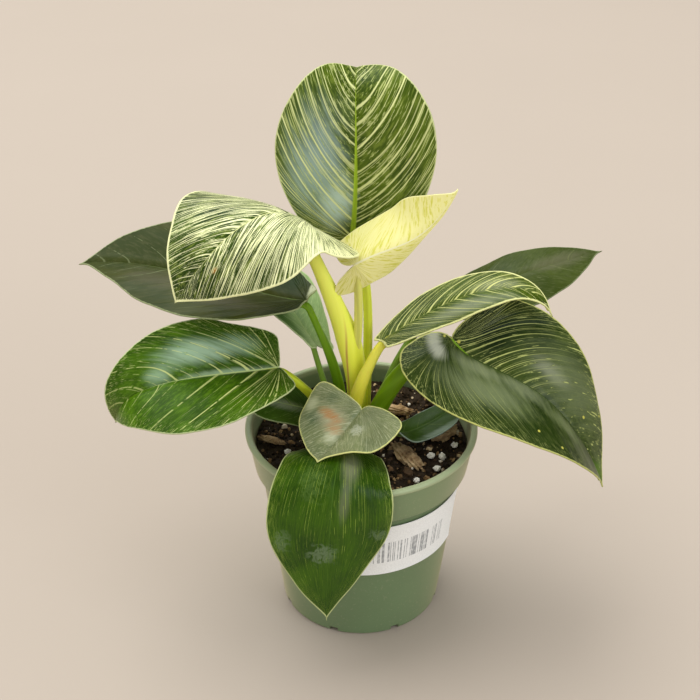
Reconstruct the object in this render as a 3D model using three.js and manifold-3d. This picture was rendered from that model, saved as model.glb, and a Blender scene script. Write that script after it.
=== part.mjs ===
// A philodendron birkin in its nursery pot. Millimetres, +Z up, the origin where the pot's axis meets the surface.
// The plant is a short crown in the soil, with thirteen leaves, each a stalk and a heart-shaped blade in one piece.
import * as THREE from "three";
import { mergeVertices } from "three/addons/utils/BufferGeometryUtils.js";
import Module from "manifold-3d";

const wasm = await Module();
wasm.setup();

// ---- Driving dimensions ----

const GAP = 0.3; // between pieces that touch
const POT = {
  height: 93.8,
  lipRadius: 52.5,
  lipWidth: 2.8,
  lipDepth: 2.6,
  bandHeight: 19.3,
  bandFootRadius: 48.6,
  bodyTopRadius: 45.9,
  baseRadius: 37,
  wall: 1.4,
  floor: 1.6,
  facets: 36,
};
const NOTCH = { count: 8, first: 25, width: 4, height: 2.6, depth: 5 };
const LABEL = { low: 41, high: 70, from: -6, to: 70, thick: 0.4, steps: 20 };
const SOIL = { level: 85, relief: 0.9, rings: 7, hole: 10.4 };
const CROWN = { x: -2.5, y: 2, foot: 62, facets: 18 };
const BLADE = { thick: 0.7, rows: 12, rings: 3, ribEnd: 0.7 };
const STALK = { sides: 8, steps: 8, ribSteps: 4, flat: 0.85 };

// ---- Leaves ----
// midrib: the four control points of its curve, from where the stalk joins to the tip.
// face: which way the upper side looks, at the stalk and at the tip.
// half, lobe, fold, curl, lift: left and right of the midrib: greatest half width, how far the lobe reaches behind the
// stalk, the half's rise from flat, how far its margin turns back down, and the lobe's rise, the last three in degrees.
// wide, full and shoulder: where along its length the blade is widest, and how full it is beyond and before that.
// stalk: the control points of its curve up to the blade; girth: its half widths along it.

const LEAVES = [
  {
    name: "leaf_crest",
    midrib: [[-4, 18, 179], [-1, 18, 210], [-4, 15.5, 252], [-2, 48, 245]],
    face: [[-0.1, -0.8, 0.6], [0, -0.7, 0.7]],
    half: [33, 34], lobe: [5, 3], fold: [25, 27], curl: [8, 11], lift: [0, 0],
    wide: 0.37, full: 1.0, shoulder: 0.52,
    stalk: [[2, 9.5, 94], [3, 16, 130], [5, 21, 158]],
    girth: [2.2, 2.1, 2, 1.8],
    colour: 0x7f9a4e,
  },
  {
    name: "leaf_arched_cream",
    midrib: [[-24.1, 1.9, 194.3], [-38.2, -1, 212.3], [-59, -26.3, 202.6], [-77.5, -20, 169]],
    face: [[-0.22, 0.14, 0.84], [-0.4, -0.8, 0.3]],
    half: [32.5, 39.5], lobe: [20.5, 5], fold: [1, 7], curl: [38, 28], lift: [16, 0],
    wide: 0.05, full: [1.0, 1.0], shoulder: [0.92, 0.6],
    stalk: [[-3, 4.5, 94], [2, 5, 133], [-16.5, 0.2, 166]],
    girth: [3.6, 4.6, 5.6, 4.4, 3.0, 2.6],
    colour: 0xb9c47f,
  },
  {
    name: "leaf_new_folded",
    midrib: [[-3, -5, 179], [16, -7, 192], [24, -4, 184], [39, -1, 212]],
    face: [[0, -0.6, 0.8], [0.2, -0.9, 0.2]],
    half: [16, 13.5], lobe: [7, 17], fold: [0, -44], curl: [15, 36], lift: [-4, -17],
    wide: [0.47, 0.2], full: [0.94, 0.25],
    stalk: [[-3, 3.2, 127], [-1, 1, 142], [-1, 0, 160]],
    girth: [1.9, 1.9, 1.8, 1.7],
    colour: 0xe9e79c,
  },
  {
    name: "leaf_dark_left",
    midrib: [[-24, 10, 152.5], [-42, 16, 148], [-94, 39, 161], [-128, 41, 153]],
    face: [[0.1, 0, 1], [-0.1, -0.2, 1]],
    half: [36, 36], lobe: [1.5, 1.5], fold: [18, 17], curl: [20, 16], lift: [0, 0],
    wide: [0.3, 0.35], full: [0.87, 0.85], shoulder: [0.52, 0.26],
    stalk: [[-9, 8, 92], [-8, 8.5, 116], [-19, 8, 138]],
    girth: [2.6, 2.6, 2.2, 1.8, 1.7],
    colour: 0x2c4a26,
  },
  {
    name: "leaf_back_left",
    midrib: [[-21, 12, 129], [-33, 26, 140], [-36, 46, 139], [-50, 62, 137]],
    face: [[0.4, 0.3, 0.9], [-0.2, -0.5, 0.8]],
    half: [16, 16], lobe: [4, 4], fold: [20, 12], curl: [17, 20], lift: [0, 0],
    wide: 0.46, full: 0.97,
    stalk: [[-11, 4, 90], [-15, 7, 106], [-19, 9, 118]],
    girth: [1.7, 1.5, 1.3],
    colour: 0x33502c,
  },
  {
    name: "leaf_left",
    midrib: [[-36, -7.6, 129], [-56.4, -14.4, 129.1], [-103.4, -34.6, 143.5], [-106, -25, 112]],
    face: [[-0.2, -0.3, 0.9], [-0.4, -0.7, 0.5]],
    half: [30, 25], lobe: [1.6, 2.2], fold: [25, 25], curl: [19, 13], lift: [0, 0],
    wide: 0.33, full: [0.95, 0.89], shoulder: [0.69, 0.69],
    stalk: [[-11, -1.5, 91], [-17, -3, 108], [-29, -6, 122]],
    girth: [2.4, 2.3, 2, 1.9],
    colour: 0x3f7a2c,
  },
  {
    name: "leaf_low_left",
    midrib: [[-23, -1, 102.5], [-32, -4, 106], [-44, -5, 113], [-56.5, -7.5, 109.5]],
    face: [[0, -0.3, 0.9], [0, -0.2, 1]],
    half: [11.5, 12.5], lobe: [4, 4], fold: [9, 6], curl: [19, 21], lift: [0, 0],
    wide: 0.41, full: 0.9,
    stalk: [[-8, -3.5, 85], [-13, -8.5, 89], [-20, -6, 97]],
    girth: [1.7, 1.5, 1.4],
    colour: 0x4d7340,
  },
  {
    name: "leaf_small_heart",
    midrib: [[0, -19, 115], [-3, -23, 113], [-11, -30, 104.3], [-19, -46, 106.6]],
    face: [[0, -0.5, 0.8], [-0.5, -0.6, 0.7]],
    half: [21, 22.5], lobe: [4, 1.5], fold: [21, 16], curl: [14, 26], lift: [5, 0],
    wide: 0.22, full: 0.87, shoulder: 0.95,
    stalk: [[-0.5, -8, 89], [2, -12, 104], [2, -16, 111]],
    girth: [1.8, 1.6, 1.5],
    colour: 0x8f9f74,
  },
  {
    name: "leaf_front_drape",
    midrib: [[-9, -24, 98], [-11, -68, 122], [-15, -64, 84], [-15.3, -65, 34.5]],
    face: [[0, -0.7, 0.8], [0.2, -1, 0.1]],
    half: [24, 24], lobe: [3, 4], fold: [-5, -5], curl: [12, 17], lift: [0, 3],
    wide: 0.22, full: 1.13, shoulder: 0.74,
    stalk: [[-4.5, -4.5, 85], [-5.5, -12, 93], [-8, -19, 95]],
    girth: [2, 1.9, 1.8],
    colour: 0x47703a,
  },
  {
    name: "leaf_low_right",
    midrib: [[15, -11, 98], [22, -6, 89], [38, 5, 97], [51, 10, 101]],
    face: [[0, 0, 1], [0, 0, 1]],
    half: [9, 10], lobe: [3, 3], fold: [6, 10], curl: [21, 19], lift: [0, 0],
    wide: 0.39, full: 0.89,
    stalk: [[3, -4, 84], [5, -9, 91], [10, -12, 95]],
    girth: [1.6, 1.5, 1.4],
    colour: 0x35532c,
  },
  {
    name: "leaf_broad_right",
    midrib: [[39, -1, 140], [51, -10, 123], [83, -19, 141], [107, -25, 77]],
    face: [[0, -0.6, 0.8], [0.7, -0.1, 0.7]],
    half: [35, 32], lobe: [4, 8.4], fold: [14, 16], curl: [12, 16], lift: [0, 0],
    wide: 0.34, full: 0.81,
    stalk: [[4.5, -2.5, 92], [7, -2, 113], [26, -2, 136]],
    girth: [4.6, 4.5, 4.1, 3.5, 2.4],
    colour: 0x35592f,
  },
  {
    name: "leaf_striped_right",
    midrib: [[8.4, 0, 138], [31, 18, 143.5], [71, 11, 176.2], [83, 5, 147]],
    face: [[-0.4, 0, 0.9], [0.8, -0.2, 0.6]],
    half: [13, 12], lobe: [1, 1], fold: [8, 6], curl: [15, 26], lift: [0, 0],
    wide: [0.27, 0.36], full: [0.98, 0.93], shoulder: [0.3, 0.7],
    stalk: [[-4.5, -3.5, 93], [-4, -4, 110], [2.2, -3, 127.4]],
    girth: [3.2, 3.3, 2.8, 2],
    colour: 0x9aac5a,
  },
  {
    name: "leaf_dark_right",
    midrib: [[33, 35, 131], [65, 37, 149], [84, 49, 147], [112, 59, 150]],
    face: [[0, 0, 1], [0.2, -0.2, 1]],
    half: [19, 20], lobe: [6, 2], fold: [3, 4], curl: [22, 21], lift: [0, 0],
    wide: 0.41, full: 0.81, shoulder: [0.84, 0.5],
    stalk: [[6.5, 6, 91], [10, 12, 110], [22, 26, 126]],
    girth: [2, 1.9, 1.7],
    colour: 0x2f4d28,
  },
];

// ---- Loose bits on the soil: centre, half sizes and turn about the vertical ----

const BITS = [
  { name: "bark_chip_long", at: [20, -15.4, 87.2], size: [10.5, 4, 2.6], turn: -58, rough: 0.16, colour: 0xa98d6a },
  { name: "bark_chip_block", at: [37, 2, 88], size: [7, 4.5, 3.6], turn: 35, rough: 0.2, colour: 0x6e5c4c },
  { name: "bark_chip_left", at: [-40.5, -3.4, 87], size: [6.5, 1.7, 1.5], turn: -22, rough: 0.18, colour: 0xb49a72 },
  { name: "dry_sheath", at: [17, 19, 88], size: [7, 2.4, 2], turn: -15, rough: 0.14, colour: 0xc0a278 },
  { name: "perlite_1", at: [31, -14.8, 86.9], size: [1.6, 1.5, 1.4], turn: 0, rough: 0.1, colour: 0xe8e6df },
  { name: "perlite_2", at: [36, -15.5, 86.9], size: [1.5, 1.4, 1.4], turn: 40, rough: 0.1, colour: 0xe8e6df },
  { name: "perlite_3", at: [33.2, -24.3, 86.9], size: [1.5, 1.4, 1.3], turn: 75, rough: 0.1, colour: 0xe8e6df },
  { name: "perlite_4", at: [42, -7, 86.9], size: [1.4, 1.2, 1.2], turn: 20, rough: 0.1, colour: 0xe8e6df },
  { name: "perlite_5", at: [24, -33, 86.9], size: [1.3, 1.2, 1.2], turn: 10, rough: 0.1, colour: 0xe8e6df },
  { name: "perlite_6", at: [-33, -12, 86.9], size: [1.4, 1.3, 1.2], turn: 65, rough: 0.1, colour: 0xe2d8c4 },
];

// ---- Small helpers ----

const rad = THREE.MathUtils.degToRad;
const vec = (p) => new THREE.Vector3(...p);

function geometryOf(points, triangles) {
  const g = new THREE.BufferGeometry();
  g.setAttribute("position", new THREE.Float32BufferAttribute(points.flat(), 3));
  g.setIndex(triangles.flat());
  return g;
}

// The closed mesh as a solid: vertices shared, and triangles that have shrunk to a line dropped.
function solidOf(geometry) {
  const bare = geometry.clone();
  bare.deleteAttribute("normal");
  bare.deleteAttribute("uv");
  const merged = mergeVertices(bare, 1e-3);
  const corners = merged.index.array;
  const kept = [];
  for (let i = 0; i < corners.length; i += 3) {
    const [a, b, c] = corners.slice(i, i + 3);
    if (a !== b && b !== c && c !== a) kept.push(a, b, c);
  }
  return new wasm.Manifold(
    new wasm.Mesh({
      numProp: 3,
      vertProperties: new Float32Array(merged.attributes.position.array),
      triVerts: new Uint32Array(kept),
    }),
  );
}

// The largest body of a solid, as a geometry: a cut can leave loose scraps beside it.
function geometryFrom(solid) {
  const body = solid.decompose().sort((a, b) => b.volume() - a.volume())[0];
  const mesh = body.getMesh();
  const g = new THREE.BufferGeometry();
  g.setAttribute("position", new THREE.BufferAttribute(new Float32Array(mesh.vertProperties), 3));
  g.setIndex(new THREE.BufferAttribute(new Uint32Array(mesh.triVerts), 1));
  g.computeVertexNormals();
  return g;
}

function meshOf(name, geometry, colour, roughness) {
  const material = new THREE.MeshStandardMaterial({ color: colour, roughness, metalness: 0 });
  const mesh = new THREE.Mesh(geometry, material);
  mesh.name = name;
  return mesh;
}

// A lathe stands along Y in three.js, so it is turned to stand along Z.
function lathe(profile, facets) {
  const points = profile.map(([r, z]) => new THREE.Vector2(r, z));
  return new THREE.LatheGeometry(points, facets).rotateX(Math.PI / 2);
}

// The values of a leaf for one of its halves: a value given once holds for both.
function ofHalf(leaf, k) {
  const values = { shoulder: 0.84, ...leaf };
  return Object.fromEntries(Object.entries(values).map(([key, v]) => [key, Array.isArray(v) ? v[k] : v]));
}

// ---- The blade's outline, in its own flat frame: a along the midrib, b out to the side ----

function outline(leaf, k, length) {
  const { half, lobe, wide, full, shoulder } = ofHalf(leaf, k);
  const beyond = 1 - wide;
  const knots = [
    [-0.3 * lobe, 0.03 * half],
    [-0.75 * lobe, 0.15 * half],
    [-lobe, 0.55 * shoulder * half],
    [-0.42 * lobe, shoulder * half],
    [wide * length, half],
    [(wide + beyond * 0.42) * length, full * half],
    [(wide + beyond * 0.74) * length, (0.5 * full + 0.02) * half],
    [0.955 * length, 0.07 * half],
    [length, 0],
  ].map(([a, b]) => new THREE.Vector2(a, b));
  return new THREE.SplineCurve(knots).getSpacedPoints(BLADE.rows);
}

// Where a pair of veins leaves the midrib, from the points where they meet the left and right margins.
const veinStart = (left, right) => Math.max(0, (left.x + right.x) / 2 - 0.275 * (left.y + right.y));

// A point on the vein that leaves the midrib steeply at start and bends towards the tip to margin point (a, b).
function veinPoint(start, { x: a, y: b }, share) {
  const control = new THREE.Vector2(start + 0.25 * (a - start), 0.62 * b);
  const curve = new THREE.QuadraticBezierCurve(new THREE.Vector2(start, 0), control, new THREE.Vector2(a, b));
  return curve.getPoint(share);
}

// ---- The blade in space ----

// The midrib's curve, with the frame that the blade is bent to at a distance along it.
function midribOf(leaf) {
  const curve = new THREE.CubicBezierCurve3(...leaf.midrib.map(vec));
  curve.arcLengthDivisions = 80;
  const length = curve.getLength();
  const [faceStart, faceEnd] = leaf.face.map(vec);
  const frame = (a) => {
    const share = THREE.MathUtils.clamp(a / length, 0, 1);
    const along = curve.getTangentAt(share);
    const at = curve.getPointAt(share).addScaledVector(along, Math.min(a, 0));
    const face = faceStart.clone().lerp(faceEnd, share);
    const up = face.addScaledVector(along, -face.dot(along)).normalize();
    const side = along.clone().cross(up);
    return { at, along, up, side };
  };
  return { length, frame };
}

// How far a half of the blade has gone out and up at a distance b from the midrib.
function section(b, half, fold, curl) {
  const rise = rad(fold);
  const turn = rad(curl) / half;
  return {
    out: (Math.sin(rise) - Math.sin(rise - turn * b)) / turn,
    up: (Math.cos(rise - turn * b) - Math.cos(rise)) / turn,
  };
}

// The two halves as rows of points from the midrib to the margin, from the sinus to the tip.
function bladeRows(leaf, midrib) {
  const margins = [0, 1].map((k) => outline(leaf, k, midrib.length));
  return [0, 1].map((k) => {
    const lift = Math.tan(rad(leaf.lift[k]));
    return margins[k].map((end, j) => {
      const start = veinStart(margins[0][j], margins[1][j]);
      const row = [];
      for (let i = 0; i <= BLADE.rings; i++) {
        const { x: a, y: b } = veinPoint(start, end, i / BLADE.rings);
        const { at, up, side } = midrib.frame(a);
        const bent = section(b, leaf.half[k], leaf.fold[k], leaf.curl[k]);
        const rise = bent.up - Math.min(a, 0) * lift;
        row.push(at.addScaledVector(side, k ? bent.out : -bent.out).addScaledVector(up, rise));
      }
      return row;
    });
  });
}

// The sheet of triangles through both halves, given its thickness evenly to both sides, with a rim round its edge.
function bladeSolid(leaf, midrib) {
  const [left, right] = bladeRows(leaf, midrib);
  const points = [];
  const faces = [];
  [left, right].forEach((rows, k) => {
    const first = points.length;
    const wide = BLADE.rings + 1;
    rows.forEach((row) => row.forEach((p) => points.push([p.x, p.y, p.z])));
    for (let j = 0; j < BLADE.rows; j++)
      for (let i = 0; i < BLADE.rings; i++) {
        const a = first + j * wide + i;
        const [b, c, d] = [a + 1, a + wide + 1, a + wide];
        const pair = k ? [[a, b, c], [a, c, d]] : [[a, c, b], [a, d, c]];
        faces.push(...pair);
      }
  });
  const sheet = mergeVertices(geometryOf(points, faces), 1e-2);
  const corners = [];
  const raw = sheet.index.array;
  for (let i = 0; i < raw.length; i += 3) {
    const [a, b, c] = raw.slice(i, i + 3);
    if (a !== b && b !== c && c !== a) corners.push([a, b, c]);
  }
  sheet.setIndex(corners.flat());
  sheet.computeVertexNormals();

  const at = sheet.attributes.position;
  const normal = sheet.attributes.normal;
  const solid = [];
  [1, -1].forEach((way) => {
    for (let i = 0; i < at.count; i++) {
      const p = new THREE.Vector3().fromBufferAttribute(at, i);
      const n = new THREE.Vector3().fromBufferAttribute(normal, i);
      p.addScaledVector(n, (way * BLADE.thick) / 2);
      solid.push([p.x, p.y, p.z]);
    }
  });
  const under = at.count;
  const skin = [...corners, ...corners.map(([a, b, c]) => [a + under, c + under, b + under])];
  const open = new Map();
  corners.forEach(([a, b, c]) =>
    [[a, b], [b, c], [c, a]].forEach(([p, q]) => {
      if (!open.delete(`${q} ${p}`)) open.set(`${p} ${q}`, [p, q]);
    }),
  );
  const rim = [...open.values()].flatMap(([p, q]) => [[q, p, p + under], [q, p + under, q + under]]);
  return solidOf(geometryOf(solid, [...skin, ...rim]));
}

// ---- Stalks ----

// A closed tube of oval section along a list of points, each with its own half width.
function sweep(path, halves, flat, front) {
  const points = [];
  const faces = [];
  const n = STALK.sides;
  let wide = null;
  path.forEach((p, i) => {
    const along = path[Math.min(i + 1, path.length - 1)].clone().sub(path[Math.max(i - 1, 0)]).normalize();
    wide = wide ?? along.clone().cross(front);
    wide.addScaledVector(along, -wide.dot(along)).normalize();
    const deep = along.clone().cross(wide);
    for (let s = 0; s < n; s++) {
      const turn = (2 * Math.PI * s) / n;
      const q = p.clone().addScaledVector(wide, halves[i] * Math.cos(turn));
      q.addScaledVector(deep, halves[i] * flat * Math.sin(turn));
      points.push([q.x, q.y, q.z]);
    }
  });
  for (let i = 0; i + 1 < path.length; i++)
    for (let s = 0; s < n; s++) {
      const [a, b] = [i * n + s, i * n + ((s + 1) % n)];
      faces.push([a, b, b + n], [a, b + n, a + n]);
    }
  const last = (path.length - 1) * n;
  for (let s = 1; s + 1 < n; s++) faces.push([0, s + 1, s], [last, last + s, last + s + 1]);
  return geometryOf(points, faces);
}

// A value read from an even list of values, at a share of the way along it.
function along(list, share) {
  const at = share * (list.length - 1);
  const i = Math.min(Math.floor(at), list.length - 2);
  return THREE.MathUtils.lerp(list[i], list[i + 1], at - i);
}

// The stalk, and beyond it the rib that runs on under the blade and tapers away. extra widens it, for its own hole.
function stalkSolid(leaf, midrib, extra = 0) {
  const top = leaf.girth.at(-1);
  const start = midrib.frame(0);
  const join = start.at.clone().addScaledVector(start.up, -0.85 * top * STALK.flat);
  const curve = new THREE.CubicBezierCurve3(...leaf.stalk.map(vec), join);
  const path = [];
  const halves = [];
  for (let i = 0; i <= STALK.steps; i++) {
    const share = i / STALK.steps;
    path.push(curve.getPointAt(share));
    halves.push(along(leaf.girth, share) + extra);
  }
  if (extra) {
    const first = path[0].clone().sub(path[1]).normalize();
    path[0].addScaledVector(first, extra);
    return solidOf(sweep(path, halves, STALK.flat, new THREE.Vector3(0, -1, 0)));
  }
  for (let i = 1; i <= STALK.ribSteps; i++) {
    const share = i / STALK.ribSteps;
    const half = THREE.MathUtils.lerp(top, 0.45, share);
    const { at, up } = midrib.frame(share * BLADE.ribEnd * midrib.length);
    path.push(at.addScaledVector(up, -0.85 * half * STALK.flat));
    halves.push(half);
  }
  return solidOf(sweep(path, halves, STALK.flat, new THREE.Vector3(0, -1, 0)));
}

// ---- The plant ----

function plant() {
  const group = new THREE.Group();
  const built = LEAVES.map((leaf) => {
    const midrib = midribOf(leaf);
    return {
      leaf,
      solid: bladeSolid(leaf, midrib).add(stalkSolid(leaf, midrib)),
      socket: stalkSolid(leaf, midrib, GAP),
    };
  });
  // The newest leaf comes out of the sheath of the one before it.
  const [, sheath, newest] = built;
  sheath.solid = sheath.solid.subtract(newest.socket);

  const profile = [
    [0, CROWN.foot], [4, CROWN.foot], [6.5, 70], [8.8, 82], [10.4, 89], [9.6, 94], [6.5, 97.5], [0, 99],
  ];
  let crown = solidOf(lathe(profile, CROWN.facets).translate(CROWN.x, CROWN.y, 0));
  built.forEach(({ socket }) => {
    crown = crown.subtract(socket);
  });
  group.add(meshOf("crown", geometryFrom(crown), 0x7c6a3c, 0.7));
  built.forEach(({ leaf, solid }) => group.add(meshOf(leaf.name, geometryFrom(solid), leaf.colour, 0.4)));
  return group;
}

// ---- The pot ----

const bandFoot = POT.height - POT.bandHeight;
const bodySlope = (POT.bodyTopRadius - POT.baseRadius) / bandFoot;
const bodyRadius = (z) => POT.baseRadius + bodySlope * z;
const innerLip = POT.lipRadius - POT.lipWidth;

function pot() {
  const { height, wall, floor } = POT;
  const profile = [
    [0, 0],
    [POT.baseRadius - 0.8, 0],
    [POT.baseRadius, 0.8],
    [POT.bodyTopRadius, bandFoot],
    [POT.bandFootRadius, bandFoot + 0.6],
    [POT.lipRadius - 1.2, height - POT.lipDepth],
    [POT.lipRadius, height - POT.lipDepth + 0.6],
    [POT.lipRadius, height - 0.7],
    [POT.lipRadius - 0.7, height],
    [innerLip + 0.4, height],
    [innerLip - 0.2, height - 0.6],
    [POT.bandFootRadius - wall, bandFoot + 2],
    [POT.bodyTopRadius - wall, bandFoot - 1.5],
    [bodyRadius(floor) - wall, floor],
    [0, floor],
  ];
  let solid = solidOf(lathe(profile, POT.facets));
  for (let i = 0; i < NOTCH.count; i++) {
    const box = new THREE.BoxGeometry(NOTCH.width, NOTCH.depth, 2 * NOTCH.height);
    box.translate(0, -POT.baseRadius, 0).rotateZ(rad(NOTCH.first + (360 / NOTCH.count) * i));
    solid = solid.subtract(solidOf(box));
  }
  return meshOf("pot", geometryFrom(solid), 0x41694b, 0.45);
}

// A paper strip round part of the body, standing a hair off it.
function label() {
  const points = [];
  const faces = [];
  for (let i = 0; i <= LABEL.steps; i++) {
    const turn = rad(THREE.MathUtils.lerp(LABEL.from, LABEL.to, i / LABEL.steps));
    [[LABEL.low, 0], [LABEL.low, LABEL.thick], [LABEL.high, LABEL.thick], [LABEL.high, 0]].forEach(([z, out]) => {
      const r = bodyRadius(z) + GAP + out;
      points.push([r * Math.sin(turn), -r * Math.cos(turn), z]);
    });
  }
  for (let i = 0; i < LABEL.steps; i++)
    for (let s = 0; s < 4; s++) {
      const [a, b] = [4 * i + s, 4 * i + ((s + 1) % 4)];
      faces.push([a, b + 4, b], [a, a + 4, b + 4]);
    }
  const last = 4 * LABEL.steps;
  faces.push([0, 1, 2], [0, 2, 3], [last, last + 2, last + 1], [last, last + 3, last + 2]);
  return meshOf("label", geometryFrom(solidOf(geometryOf(points, faces))), 0xf1f1ee, 0.6);
}

// ---- The soil and what lies on it ----

// Crumbly relief: a few crossing waves, which fade out at the wall of the pot.
function crumb(x, y) {
  const waves = Math.sin(0.31 * x + 1.3) * Math.cos(0.27 * y) + 0.6 * Math.sin(0.73 * x - 0.52 * y);
  return SOIL.relief * (waves + 0.4 * Math.cos(1.1 * y + 0.6 * x));
}

function soilSolid() {
  const reach = innerLip - 1.9;
  const points = [[0, 0, SOIL.level]];
  const faces = [];
  const n = POT.facets;
  const ring = (r, heightAt) => {
    for (let s = 0; s < n; s++) {
      const turn = (2 * Math.PI * s) / n;
      const [x, y] = [r * Math.cos(turn), r * Math.sin(turn)];
      points.push([x, y, heightAt(x, y)]);
    }
  };
  for (let i = 1; i <= SOIL.rings; i++) {
    const fade = i === SOIL.rings ? 0.3 : 1;
    ring((reach * i) / SOIL.rings, (x, y) => SOIL.level + fade * crumb(x, y));
  }
  const wallGap = POT.wall + GAP + 0.1;
  [
    [POT.bandFootRadius - wallGap, bandFoot + 2],
    [POT.bodyTopRadius - wallGap, bandFoot - 1.7],
    [bodyRadius(POT.floor) - wallGap, POT.floor + GAP],
  ].forEach(([r, z]) => ring(r, () => z));
  const rings = SOIL.rings + 3;
  for (let s = 0; s < n; s++) faces.push([0, 1 + s, 1 + ((s + 1) % n)]);
  for (let i = 0; i + 1 < rings; i++)
    for (let s = 0; s < n; s++) {
      const [a, b] = [1 + i * n + s, 1 + i * n + ((s + 1) % n)];
      faces.push([a, a + n, b + n], [a, b + n, b]);
    }
  const last = 1 + (rings - 1) * n;
  points.push([0, 0, POT.floor + GAP]);
  for (let s = 0; s < n; s++) faces.push([points.length - 1, last + ((s + 1) % n), last + s]);
  return solidOf(geometryOf(points, faces));
}

// A lump of bark, perlite or dry sheath. grow widens it, for the hollow that it lies in.
function bitGeometry({ at, size, turn, rough }, grow = 0) {
  const lump = mergeVertices(stripped(new THREE.IcosahedronGeometry(1, 1)), 1e-4);
  const p = lump.attributes.position;
  for (let i = 0; i < p.count; i++) {
    const v = new THREE.Vector3().fromBufferAttribute(p, i);
    const knobs = Math.sin(5 * v.x + 9 * v.y + size[0]) * Math.cos(7 * v.z + 4 * v.y + size[1]);
    v.multiplyScalar(1 + rough * knobs);
    p.setXYZ(i, v.x * (size[0] + grow), v.y * (size[1] + grow), v.z * (size[2] + grow));
  }
  return lump.rotateZ(rad(turn)).translate(...at);
}

function stripped(geometry) {
  geometry.deleteAttribute("normal");
  geometry.deleteAttribute("uv");
  return geometry;
}

function ground() {
  const group = new THREE.Group();
  let soil = soilSolid();
  const hole = new THREE.CylinderGeometry(SOIL.hole + 1.4, SOIL.hole, 40, 24).rotateX(Math.PI / 2);
  soil = soil.subtract(solidOf(hole.translate(CROWN.x, CROWN.y, SOIL.level - 4)));
  BITS.forEach((bit) => {
    soil = soil.subtract(solidOf(bitGeometry(bit, 1.5 * GAP)));
    group.add(meshOf(bit.name, bitGeometry(bit), bit.colour, 0.9));
  });
  group.add(meshOf("soil", geometryFrom(soil), 0x2c211b, 1));
  return group;
}

const birkin = new THREE.Group();
birkin.add(pot(), label(), ground(), plant());

export default birkin;
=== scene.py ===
"""A philodendron birkin in its nursery pot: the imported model, dressed with fine leaves, soil and plastic."""
import math

import bpy
import numpy as np
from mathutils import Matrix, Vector, noise


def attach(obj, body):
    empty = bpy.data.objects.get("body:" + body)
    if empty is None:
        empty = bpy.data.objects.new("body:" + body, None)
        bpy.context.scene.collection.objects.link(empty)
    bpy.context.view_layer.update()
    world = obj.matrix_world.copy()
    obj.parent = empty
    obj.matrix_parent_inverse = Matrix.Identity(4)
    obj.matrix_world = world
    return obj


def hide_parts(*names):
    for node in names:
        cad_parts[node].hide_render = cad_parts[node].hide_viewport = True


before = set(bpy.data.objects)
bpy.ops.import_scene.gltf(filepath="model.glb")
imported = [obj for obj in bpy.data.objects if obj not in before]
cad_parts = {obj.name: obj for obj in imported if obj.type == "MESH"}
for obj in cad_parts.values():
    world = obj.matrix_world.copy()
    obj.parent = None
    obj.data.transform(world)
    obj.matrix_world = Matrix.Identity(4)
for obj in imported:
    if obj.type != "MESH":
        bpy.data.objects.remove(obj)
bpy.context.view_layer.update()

bl_info = {
    "name": "Potted Philodendron Birkin",
    "version": (1, 0, 0),
    "blender": (4, 5, 0),
    "location": "View3D > Sidebar > Birkin",
    "description": "Builds a striped philodendron in a green nursery pot, piece by piece",
    "category": "Add Mesh",
}

MM = 0.001
BODY = "root"

# ---- The leaves' forms, in millimetres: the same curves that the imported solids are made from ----
# midrib: its four control points, from the stalk to the tip.
# face: where the upper side looks, at the midrib's start and at its end.
# half, lobe, fold, curl, lift: left and right of the midrib: half width, reach of the lobe behind the stalk,
# rise from flat, how far the margin turns back down, and the lobe's rise, 0 where none is given. The last
# three are in degrees.
# wide, full, shoulder: where the blade is widest, and how full it is beyond and before that.
# stalk: the control points of its curve up to the blade. girth: its half widths along it.

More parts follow.
